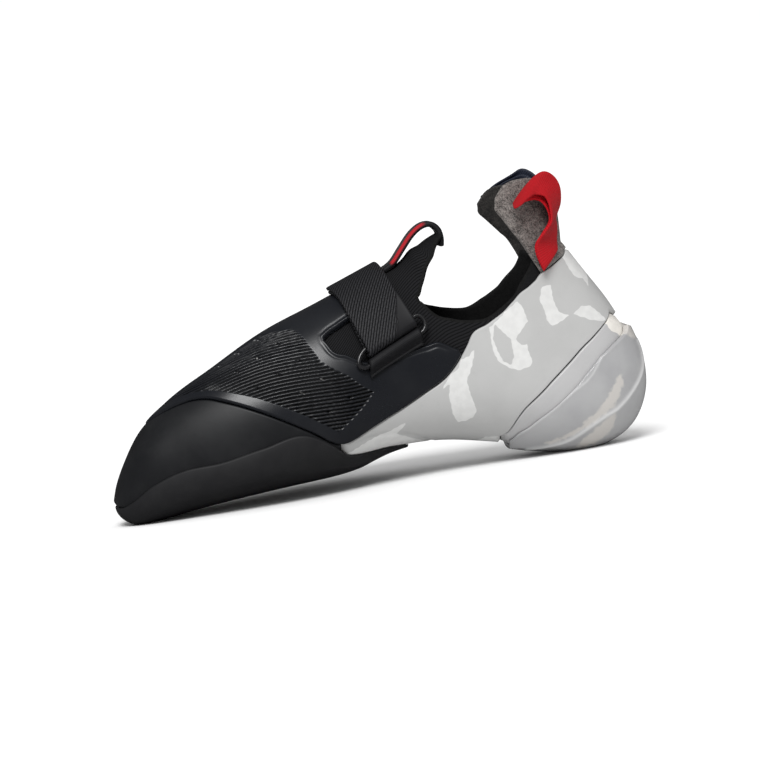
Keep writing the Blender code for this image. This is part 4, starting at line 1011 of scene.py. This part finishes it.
def heel_tab_grid(side, lean):
    """Middle of a suede flap, from the rand's top edge up over the collar's rim to its round top."""
    middle = GAP + HEEL_TAB_WALL / 2
    foot, rim = [], []
    for girth in spread(TAB_INNER_EDGE, TAB_OUTER_EDGE, 6):
        start = max(s for s in spread(0.90, RAND_TOP_STATION, 186) if curve_value(RAND_EDGE, 1, s) >= girth)
        foot.append(above_last(start + STATION_GAP / 2, side * girth, middle))
        rim.append(above_last(1.0, side * girth, middle))
    rows = [foot, [(a + b) / 2 for a, b in zip(foot, rim)], rim]
    mean_y = sum(point[1] for point in rim) / len(rim)
    for share in (0.18, 0.38, 0.58, TAB_NARROWS_AT, 0.90, 1.0):
        row = []
        for k, base in enumerate(rim):
            across = 0.5 - k / (len(rim) - 1)
            top = np.array([
                HEEL_TAB_TOP[0] + lean[0] + across * HEEL_TAB_WIDTH,
                0.4 * base[1] + 0.6 * mean_y,
                HEEL_TAB_TOP[1] + lean[1] - HEEL_TAB_ROUNDING * (2 * abs(across)) ** 3,
            ])
            point = base + (top - base) * share
            beyond = max(share - TAB_NARROWS_AT, 0.0) / (1 - TAB_NARROWS_AT)
            point[0] -= across * HEEL_TAB_WIDTH * TAB_NARROWING * beyond
            row.append(point)
        rows.append(row)
    return rows


def finer(grid, rows, columns):
    """A coarse grid of places drawn through with smooth lines."""
    grid = np.array(grid, float)
    for count in (rows, columns):
        lines = grid.reshape(grid.shape[0], -1)
        table = [(k, *line) for k, line in enumerate(lines)]
        at = np.linspace(0, len(table) - 1, count)
        grid = np.array([[curve_value(table, c, t) for c in range(1, lines.shape[1] + 1)] for t in at])
        grid = grid.reshape(count, -1, 3).transpose(1, 0, 2)
    return grid


def build_heel_tab(name, grid, material):
    return band(name, finer(grid, 56, 44), HEEL_TAB_WALL, material, 0.0010)


def webbing_loop(name, table, place, width, wall, material, fine=10):
    """Webbing through the rows of a loop table, whose points go through place()."""
    rows = [(k, *row) for k, row in enumerate(table)]
    grid = []
    for k in range(fine * (len(table) - 1) + 1):
        values = [curve_value(rows, column, k / fine) for column in range(1, 7)]
        at, across = np.array(values[:3]), np.array(values[3:])
        across /= np.linalg.norm(across)
        grid.append([place(*(at + across * width * 1000 * t)) for t in np.linspace(-0.5, 0.5, 17)])
    grid = np.array(grid)
    for _ in range(2):
        grid[1:-1] = (grid[:-2] + 2 * grid[1:-1] + grid[2:]) / 4
        grid[:, 1:-1] = (grid[:, :-2] + 2 * grid[:, 1:-1] + grid[:, 2:]) / 4
    return band(name, grid, wall, material, 0.0004)


def beside_tab(tab, side, lean):
    """Turns x, distance out from a heel tab, and z, all in mm, into a place in the shoe's frame."""
    tab = np.array(tab)
    low, high = tab[:, :, 2].min(), tab[:, :, 2].max()
    fine = finer(tab, 73, 61).reshape(-1, 3)

    def place(x, out, z):
        if side > 0:
            tip = float(smooth_step(-8.0, -20.0, x))
            z += FAR_LOOP_RISE * float(smooth_step(98.0, 112.0, z)) + FAR_TIP[1] * tip
            x += FAR_TIP[0] * tip
        share = min(max((z / 1000 - low) / (high - low), 0.0), 1.0)
        x, z = x / 1000 + lean[0] * share, z / 1000 + lean[1] * share
        nearest = np.argmin((fine[:, 0] - x) ** 2 + (fine[:, 2] - z) ** 2)
        return np.array([x, fine[nearest, 1] + side * out / 1000, z])

    return place


def add(tree, kind, **given):
    """A node with its settings, and its inputs as values or as links from other nodes' outputs."""
    node = tree.nodes.new("ShaderNode" + kind)
    for key, value in given.items():
        name = key.replace("_", " ")
        if name in node.inputs:
            plug(tree, node.inputs[name], value)
        else:
            setattr(node, key, value)
    return node


def plug(tree, socket, value):
    if isinstance(value, bpy.types.NodeSocket):
        tree.links.new(value, socket)
    else:
        socket.default_value = value


def calc(tree, operation, *values, clamp=False):
    """Output of a Math node."""
    node = tree.nodes.new("ShaderNodeMath")
    node.operation, node.use_clamp = operation, clamp
    for k, value in enumerate(values):
        plug(tree, node.inputs[k], value)
    return node.outputs[0]


def times(tree, first, second):
    return calc(tree, "MULTIPLY", first, second)


def plus(tree, first, second, clamp=False):
    return calc(tree, "ADD", first, second, clamp=clamp)


def minus(tree, first, second):
    return calc(tree, "SUBTRACT", first, second)


def between(tree, value, low, high, to_low=0.0, to_high=1.0):
    """Output of a smooth Map Range node."""
    node = tree.nodes.new("ShaderNodeMapRange")
    node.interpolation_type = "SMOOTHSTEP"
    for socket, number in zip(("Value", "From Min", "From Max", "To Min", "To Max"),
                              (value, low, high, to_low, to_high)):
        plug(tree, node.inputs[socket], number)
    return node.outputs["Result"]


def mix(tree, share, first, second):
    """Output of a colour Mix node."""
    node = tree.nodes.new("ShaderNodeMix")
    node.data_type = "RGBA"
    plug(tree, node.inputs[0], share)
    plug(tree, node.inputs[6], first)
    plug(tree, node.inputs[7], second)
    return node.outputs[2]


def colour(*rgb):
    return (*rgb, 1.0)


def object_place(tree):
    return add(tree, "TexCoord").outputs["Object"]


def noise(tree, place, scale, detail, **given):
    return add(tree, "TexNoise", Vector=place, Scale=scale, Detail=detail, **given).outputs["Fac"]


def parts_of(tree, name):
    """The three parts of a vector that the mesh carries under a name."""
    return add(tree, "SeparateXYZ", Vector=mark(tree, name, "Vector")).outputs


def settings(shader, **values):
    """Values of a surface that are the same all over it."""
    for key, value in values.items():
        shader[key.replace("_", " ")].default_value = value


def mark(tree, name, kind="Fac"):
    """A value that the mesh carries under a name."""
    return add(tree, "Attribute", attribute_name=name).outputs[kind]


def group(name, inputs, outputs):
    """An empty shader node group with its sockets; gives the tree, its input sockets and its output node."""
    tree = bpy.data.node_groups.new(name, "ShaderNodeTree")
    for label, kind, value in inputs:
        socket = tree.interface.new_socket(label, in_out="INPUT", socket_type=kind)
        if value is not None:
            socket.default_value = value
    for label, kind in outputs:
        tree.interface.new_socket(label, in_out="OUTPUT", socket_type=kind)
    given = tree.nodes.new("NodeGroupInput").outputs
    return tree, given, tree.nodes.new("NodeGroupOutput").inputs


def use(tree, shared, **given):
    """Outputs of a shared group placed in a material."""
    node = tree.nodes.new("ShaderNodeGroup")
    node.node_tree = shared
    for key, value in given.items():
        plug(tree, node.inputs[key.replace("_", " ")], value)
    return node.outputs


FLOAT, COLOUR, VECTOR = "NodeSocketFloat", "NodeSocketColor", "NodeSocketVector"


def make_rubber_skin():
    """Moulded rubber: a fine grain, slow changes of tone, and faint handling marks."""
    tree, given, out = group("rubber_skin", (
        ("Base", COLOUR, colour(0.02, 0.02, 0.02)), ("Dusty", COLOUR, colour(0.05, 0.05, 0.05)),
        ("Dust", FLOAT, 0.3), ("Roughness", FLOAT, 0.5), ("Grain Scale", FLOAT, 2600.0),
    ), (("Colour", COLOUR), ("Roughness", FLOAT), ("Height", FLOAT)))
    place = object_place(tree)
    grain = add(tree, "TexNoise", Vector=place, Scale=given["Grain Scale"], Detail=2.0).outputs["Fac"]
    slow = noise(tree, place, 38.0, 4.0, Roughness=0.6)
    rub = noise(tree, place, 260.0, 3.0, Distortion=0.8)
    dust = times(tree, between(tree, slow, 0.42, 0.66), given["Dust"])
    dust = plus(tree, dust, times(tree, between(tree, rub, 0.60, 0.75),
                                        times(tree, given["Dust"], 0.5)), clamp=True)
    plug(tree, out["Colour"], mix(tree, dust, given["Base"], given["Dusty"]))
    rough = plus(tree, given["Roughness"], times(tree, minus(tree, slow, 0.5), 0.25))
    plug(tree, out["Roughness"], rough)
    plug(tree, out["Height"], plus(tree, times(tree, grain, 0.7),
                                   times(tree, rub, 0.3)))
    return tree


def make_weave():
    """Ribbed cloth: ribs at an angle, broken into picks. Works in the piece's own mm."""
    tree, given, out = group("weave", (
        ("Vector", VECTOR, None), ("Angle", FLOAT, 0.0), ("Rib Pitch", FLOAT, 1.0),
        ("Pick Pitch", FLOAT, 0.8), ("Loose", FLOAT, 0.1),
    ), (("Height", FLOAT), ("Shade", FLOAT)))
    parts = add(tree, "SeparateXYZ", Vector=given["Vector"]).outputs
    fuzz = noise(tree, given["Vector"], 0.5, 2.0)
    sway = times(tree, minus(tree, fuzz, 0.5), given["Loose"])
    cosine, sine = calc(tree, "COSINE", given["Angle"]), calc(tree, "SINE", given["Angle"])
    u = plus(tree, plus(tree, times(tree, parts[0], cosine),
                               times(tree, parts[1], sine)), sway)
    v = minus(tree, times(tree, parts[1], cosine), times(tree, parts[0], sine))
    rib_at = calc(tree, "DIVIDE", u, given["Rib Pitch"])
    rib = calc(tree, "ABSOLUTE", calc(tree, "SINE", times(tree, rib_at, math.pi)))
    shift = times(tree, calc(tree, "FLOOR", rib_at), 0.5)
    pick_at = plus(tree, calc(tree, "DIVIDE", v, given["Pick Pitch"]), shift)
    pick = calc(tree, "ABSOLUTE", calc(tree, "SINE", times(tree, pick_at, math.pi)))
    fibre = noise(tree, given["Vector"], 9.0, 2.0)
    height = plus(tree, times(tree, calc(tree, "POWER", rib, 0.6), 0.65),
                  times(tree, pick, 0.25))
    height = plus(tree, height, times(tree, fibre, 0.2))
    plug(tree, out["Height"], height)
    shade = times(tree, between(tree, rib, 0.15, 0.8), between(tree, pick, 0.0, 0.5, 0.6, 1.0))
    plug(tree, out["Shade"], times(tree, shade, between(tree, fibre, 0.3, 0.7, 0.75, 1.1)))
    return tree


def make_fleck():
    """Short fibres of two tones, for suede and brushed lining."""
    tree, given, out = group("fleck", (
        ("Dark", COLOUR, None), ("Light", COLOUR, None), ("Size", FLOAT, 1.0),
    ), (("Colour", COLOUR), ("Height", FLOAT)))
    place = object_place(tree)
    scale = calc(tree, "DIVIDE", 1500.0, given["Size"])
    fine = noise(tree, place, scale, 4.0, Roughness=0.75)
    blots = noise(tree, place, times(tree, scale, 0.22), 3.0)
    share = plus(tree, times(tree, between(tree, fine, 0.40, 0.62), 0.75),
                 times(tree, between(tree, blots, 0.35, 0.65), 0.35), clamp=True)
    plug(tree, out["Colour"], mix(tree, share, given["Dark"], given["Light"]))
    plug(tree, out["Height"], plus(tree, fine, times(tree, blots, 0.5)))
    return tree


def material(name):
    """A new material, its tree and its shader's inputs."""
    made = bpy.data.materials.new(name)
    made.use_nodes = True
    return made, made.node_tree, made.node_tree.nodes["Principled BSDF"].inputs


def bump(tree, shader, height, distance):
    node = add(tree, "Bump", Height=height, Distance=distance, Strength=1.0)
    plug(tree, shader["Normal"], node.outputs["Normal"])


def rubber(name, base, dusty, dust, roughness, shared, specular):
    """Moulded rubber of one colour."""
    made, tree, shader = material(name)
    skin_of = use(tree, shared, Base=colour(*base), Dusty=colour(*dusty), Dust=dust, Roughness=roughness,
                  Grain_Scale=2600.0)
    plug(tree, shader["Base Color"], skin_of["Colour"])
    plug(tree, shader["Roughness"], skin_of["Roughness"])
    settings(shader, Specular_IOR_Level=specular)
    bump(tree, shader, skin_of["Height"], 0.00003)
    return made


def patch_rubber(shared):
    """The moulded patch: painted shade in its grooves, with threads showing in its slits."""
    made, tree, shader = material("moulded_rubber")
    skin_of = use(tree, shared, Base=colour(0.008, 0.009, 0.012), Dusty=colour(0.014, 0.015, 0.018), Dust=0.5,
                  Roughness=0.30, Grain_Scale=3200.0)
    # Painted shade: the rubber is darkened towards black where the ribs' grooves are cut.
    dark = mix(tree, mark(tree, "cut"), skin_of["Colour"], colour(0.001, 0.001, 0.0015))
    place = object_place(tree)
    pick = noise(tree, place, 70.0, 0.0)
    slit_colour = mix(tree, between(tree, pick, 0.50, 0.58), colour(0.003, 0.003, 0.003),
                      colour(0.24, 0.235, 0.23))
    tone = mix(tree, between(tree, mark(tree, "slit"), 0.3, 0.7), dark, slit_colour)
    plug(tree, shader["Base Color"], tone)
    rough = plus(tree, skin_of["Roughness"], times(tree, mark(tree, "cut"), 0.4), clamp=True)
    plug(tree, shader["Roughness"], rough)
    settings(shader, Specular_IOR_Level=0.55)
    bump(tree, shader, skin_of["Height"], 0.00002)
    return made


def camouflage(name, shared, grey, pale, roughness=0.38):
    """Grey rubber with worn pale patches where the mesh says pale."""
    made, tree, shader = material(name)
    skin_of = use(tree, shared, Base=colour(*grey), Dusty=colour(*(c * 0.86 for c in grey)), Dust=0.35,
                  Roughness=roughness, Grain_Scale=3000.0)
    place = object_place(tree)
    ragged = noise(tree, place, 900.0, 2.0)
    edge = plus(tree, mark(tree, "pale"), times(tree, minus(tree, ragged, 0.5), 0.10))
    worn = noise(tree, place, 300.0, 3.0)
    light = mix(tree, between(tree, worn, 0.35, 0.65), colour(*pale), colour(*(c * 0.93 for c in pale)))
    plug(tree, shader["Base Color"], mix(tree, between(tree, edge, -0.12, 0.12), skin_of["Colour"], light))
    plug(tree, shader["Roughness"], skin_of["Roughness"])
    bump(tree, shader, skin_of["Height"], 0.00002)
    return made


def clear_rubber():
    """Glossy smoke-grey clear rubber with a painted highlight along its raised lines, and the base's cream
    showing.
    """
    made, tree, shader = material("clear_rubber")
    place = object_place(tree)
    cloud = noise(tree, place, 60.0, 3.0)
    tone = mix(tree, between(tree, cloud, 0.3, 0.7), colour(0.53, 0.53, 0.54), colour(0.60, 0.60, 0.605))
    streaks = noise(tree, place, 320.0, 3.0)
    edge = plus(tree, mark(tree, "pale"), times(tree, minus(tree, streaks, 0.5), 3.0))
    seen = times(tree, between(tree, edge, -0.6, 0.8), 0.75)
    tone = mix(tree, seen, tone, colour(0.88, 0.84, 0.79))
    # Painted highlight: the raised crease and fine line are painted near white.
    line = calc(tree, "MAXIMUM", mark(tree, "crease"), times(tree, mark(tree, "fine_line"), 0.5))
    plug(tree, shader["Base Color"], mix(tree, line, tone, colour(0.92, 0.92, 0.92)))
    plug(tree, shader["Roughness"], between(tree, cloud, 0.3, 0.7, 0.10, 0.20))
    settings(shader, Transmission_Weight=0.35, IOR=1.42)
    bump(tree, shader, cloud, 0.0002)
    return made


def webbing(name, base, shade, weave, pitch, picks, angle=0.0, depth=0.00012, roughness=0.55, sheen=0.0,
            under=None, piping=None, plain_mark=None):
    """Woven tape. under is a darker colour on its inner face, painted shade, and piping is the colour of a
    cord sewn along its edge.
    """
    made, tree, shader = material(name)
    cloth = use(tree, weave, Vector=mark(tree, "lie", "Vector"), Angle=angle, Rib_Pitch=pitch,
                Pick_Pitch=picks)
    tone = mix(tree, cloth["Shade"], colour(*shade), colour(*base))
    # Painted shade: the inner face takes the darker under colour.
    if under:
        tone = mix(tree, mark(tree, "outer"), colour(*under), tone)
    if piping:
        lie = parts_of(tree, "lie")
        edge = between(tree, lie[2], 1.6, 1.2)
        stretch = times(tree, between(tree, lie[0], 4.0, 6.0), between(tree, lie[0], 30.0, 27.0))
        shown = times(tree, times(tree, edge, stretch), mark(tree, "outer"))
        tone = mix(tree, shown, tone, colour(*piping))
    height = cloth["Height"]
    # Painted shade where plain_mark says: no weave, and the cloth painted at half its base colour.
    if plain_mark:
        woven = minus(tree, 1.0, mark(tree, plain_mark))
        tone = mix(tree, woven, colour(*(0.5 * c for c in base)), tone)
        height = times(tree, height, woven)
    plug(tree, shader["Base Color"], tone)
    settings(shader, Roughness=roughness, Specular_IOR_Level=0.25, Sheen_Weight=sheen, Sheen_Roughness=0.4)
    bump(tree, shader, height, depth)
    return made


def knit(weave, fleck):
    """Black ribbed knit, brushed inside and round its edges."""
    made, tree, shader = material("black_knit")
    cloth = use(tree, weave, Vector=mark(tree, "lie", "Vector"), Angle=0.9, Rib_Pitch=1.15, Pick_Pitch=1.0,
                Loose=0.3)
    brushed = use(tree, fleck, Dark=colour(0.004, 0.004, 0.004), Light=colour(0.010, 0.010, 0.010), Size=0.7)
    face = mix(tree, cloth["Shade"], colour(0.001, 0.001, 0.0015), colour(0.013, 0.013, 0.0145))
    rim = parts_of(tree, "lie")[2]
    lined = calc(tree, "MAXIMUM", mark(tree, "inner"), between(tree, rim, 1.6, 1.2))
    plug(tree, shader["Base Color"], mix(tree, lined, face, brushed["Colour"]))
    settings(shader, Roughness=0.9, Specular_IOR_Level=0.2, Sheen_Weight=0.0)
    height = plus(tree, times(tree, cloth["Height"], minus(tree, 1.0, lined)),
                  times(tree, brushed["Height"], lined))
    bump(tree, shader, height, 0.0002)
    return made


def suede(name, fleck, dark, light):
    """Napped suede in two tones."""
    made, tree, shader = material(name)
    nap = use(tree, fleck, Dark=colour(*dark), Light=colour(*light), Size=0.9)
    plug(tree, shader["Base Color"], nap["Colour"])
    settings(shader, Roughness=0.95, Sheen_Weight=0.08, Sheen_Roughness=0.5)
    bump(tree, shader, nap["Height"], 0.00015)
    return made


def plain(name, base, roughness, fleck, size=1.0, depth=0.00005):
    """One colour with a fine fleck."""
    made, tree, shader = material(name)
    spots = use(tree, fleck, Dark=colour(*(c * 0.8 for c in base)), Light=colour(*(c * 1.2 for c in base)),
                Size=size)
    plug(tree, shader["Base Color"], spots["Colour"])
    settings(shader, Roughness=roughness)
    bump(tree, shader, spots["Height"], depth)
    return made


def build_stage():
    """White floor, an even white surround and one wide soft sun."""
    half = 12.0
    floor = bpy.data.meshes.new("floor")
    corners = [(x * half, y * half, 0) for x, y in ((-1, -1), (1, -1), (1, 1), (-1, 1))]
    floor.from_pydata(corners, [], [(0, 1, 2, 3)])
    made, tree, shader = material("floor_white")
    seen = add(tree, "LightPath").outputs["Is Camera Ray"]
    mirrored = add(tree, "LightPath").outputs["Is Glossy Ray"]
    bounced = mix(tree, mirrored, colour(0.80, 0.80, 0.80), colour(0.12, 0.12, 0.12))
    plug(tree, shader["Base Color"], mix(tree, seen, bounced, colour(0.95, 0.95, 0.95)))
    settings(shader, Roughness=0.9, Specular_IOR_Level=0.0)
    floor.materials.append(made)
    ground = bpy.data.objects.new("floor", floor)
    ground.location.z = -0.0002
    bpy.context.scene.collection.objects.link(ground)

    world = bpy.data.worlds.new("surround")
    bpy.context.scene.world = world
    world.use_nodes = True
    tree = world.node_tree
    seen = add(tree, "LightPath").outputs["Is Camera Ray"]
    sky = tree.nodes["Background"].inputs
    sky["Color"].default_value = colour(1.0, 1.0, 1.0)
    mirrored = add(tree, "LightPath").outputs["Is Glossy Ray"]
    strength = plus(tree, times(tree, seen, 0.40), 0.62)
    plug(tree, sky["Strength"], minus(tree, strength, times(tree, mirrored, 0.55)))
    sun = bpy.data.lights.new("sky_sun", "SUN")
    sun.energy, sun.angle = 2.45, 0.50
    lamp = bpy.data.objects.new("sky_sun", sun)
    lamp.location = (-0.17, -1.00, 1.20)
    lamp.rotation_mode = "QUATERNION"
    lamp.rotation_quaternion = (-lamp.location).to_track_quat("-Z", "Y")
    bpy.context.scene.collection.objects.link(lamp)
    view = bpy.context.scene.view_settings
    view.view_transform, view.look, view.exposure, view.gamma = "Standard", "None", 0.0, 1.0


def build_camera():
    """Long lens at the shoe's medial side, rolled as the shoe was tipped in front of it."""
    turn, lift, roll = math.radians(-5), math.radians(4.5), math.radians(8.84)
    look_at = Vector((-0.0903, 0.0, 0.0455))
    wide, lens, sensor = 0.350, 200.0, 36.0
    back = Vector((math.sin(turn) * math.cos(lift), -math.cos(turn) * math.cos(lift), math.sin(lift)))
    right = Vector((math.cos(turn), math.sin(turn), 0.0))
    up = back.cross(right)
    rolled_right = right * math.cos(roll) - up * math.sin(roll)
    rolled_up = right * math.sin(roll) + up * math.cos(roll)
    eye = bpy.data.cameras.new("camera")
    eye.lens, eye.sensor_width, eye.clip_end = lens, sensor, 60.0
    camera = bpy.data.objects.new("camera", eye)
    axes = Matrix((rolled_right, rolled_up, back)).transposed().to_4x4()
    axes.translation = look_at + back * (wide * lens / sensor)
    camera.matrix_world = axes
    bpy.context.scene.collection.objects.link(camera)
    bpy.context.scene.camera = camera


def main():
    global LAST
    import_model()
    LAST = last_grid()
    moulding, weave, fleck = make_rubber_skin(), make_weave(), make_fleck()
    black = rubber("black_rubber", (0.009, 0.0095, 0.011), (0.016, 0.0165, 0.018), 0.5, 0.44, moulding, 0.30)
    sole = rubber("sole_rubber", (0.013, 0.013, 0.0145), (0.022, 0.022, 0.023), 0.45, 0.55, moulding, 0.25)
    moulded = patch_rubber(moulding)
    grey = camouflage("camouflage_rubber", moulding, (0.45, 0.45, 0.445), (0.66, 0.66, 0.65))
    base = camouflage("base_rubber", moulding, (0.46, 0.458, 0.46), (0.80, 0.77, 0.72))
    # The strap is painted plain and darker at its crease, painted shade.
    strap_cloth = webbing("black_webbing", (0.024, 0.024, 0.027), (0.0010, 0.0010, 0.0015), weave, 1.3, 3.2,
                          angle=2.27, depth=0.0004, roughness=0.44, plain_mark="crease_shade")
    holder_cloth = webbing("holder_webbing", (0.012, 0.012, 0.014), (0.003, 0.003, 0.004), weave, 0.6, 0.6)
    # The red tape's under colour is painted shade on its inner face.
    red = webbing("red_webbing", (0.64, 0.001, 0.010), (0.30, 0.0005, 0.004), weave, 0.9, 0.9, depth=0.00025,
                  roughness=0.7, under=(0.40, 0.001, 0.006))
    navy = webbing("navy_webbing", (0.016, 0.021, 0.040), (0.005, 0.007, 0.013), weave, 0.9, 0.9)
    two_faced = webbing("tongue_webbing", (0.014, 0.014, 0.016), (0.004, 0.004, 0.005), weave, 0.6, 0.7,
                        sheen=0.1, piping=(0.40, 0.004, 0.012))
    near_suede = suede("heather_suede", fleck, (0.020, 0.017, 0.016), (0.24, 0.215, 0.20))
    # Painted shade: the far tab is the same heather suede, painted darker.
    far_suede_shaded = suede("heather_suede_shaded", fleck, (0.005, 0.005, 0.005), (0.040, 0.036, 0.033))
    wire = plain("black_wire", (0.012, 0.012, 0.013), 0.22, fleck, 2.0, 0.00001)
    board = plain("footbed_board", (0.02, 0.02, 0.022), 0.9, fleck)

    pieces = [
        (build_upper(knit(weave, fleck)), "upper_bootie", "black_knit"),
        (build_insole(board), "insole", "insole_board"),
        (build_toe_rand(black), "toe_rand", "black_rubber"),
        (build_toe_patch(moulded), "toe_patch", "moulded_rubber"),
        (build_outsole(sole), "outsole", "sole_rubber"),
        (build_heel_rand(grey), "heel_rand", "camouflage_rubber"),
        (build_heel_base(base), "heel_base", "camouflage_rubber"),
        (build_heel_cup(clear_rubber()), "heel_cup", "clear_rubber"),
        (build_strap(strap_cloth), "strap", "black_webbing"),
        (build_ring(wire), "strap_ring", "black_wire"),
        (build_ring_tab(holder_cloth), "ring_tab", "black_webbing"),
    ]
    for name, side, lean, hide, cloth, slot in (
        ("medial", -1, (0.0, 0.0), near_suede, red, "red_webbing"),
        ("lateral", 1, FAR_TAB_LEAN, far_suede_shaded, navy, "navy_webbing"),
    ):
        tab = heel_tab_grid(side, lean)
        loop = webbing_loop(f"loop_{name}", PULL_LOOP, beside_tab(tab, side, lean), WEBBING_WIDTH,
                            WEBBING_WALL, cloth)
        pieces += [(build_heel_tab(f"suede_{name}", tab, hide), f"heel_tab_{name}", "heather_suede"),
                   (loop, f"pull_loop_{name}", slot)]
    tongue = webbing_loop("loop_tongue", TONGUE_LOOP, lambda *at: np.array(at) / 1000, TONGUE_LOOP_WIDTH,
                          TONGUE_LOOP_WALL, two_faced)
    pieces.append((tongue, "tongue_loop", "black_webbing"))
    for piece, node, slot in pieces:
        stands_for(piece, node, slot)
    build_stage()
    build_camera()


main()
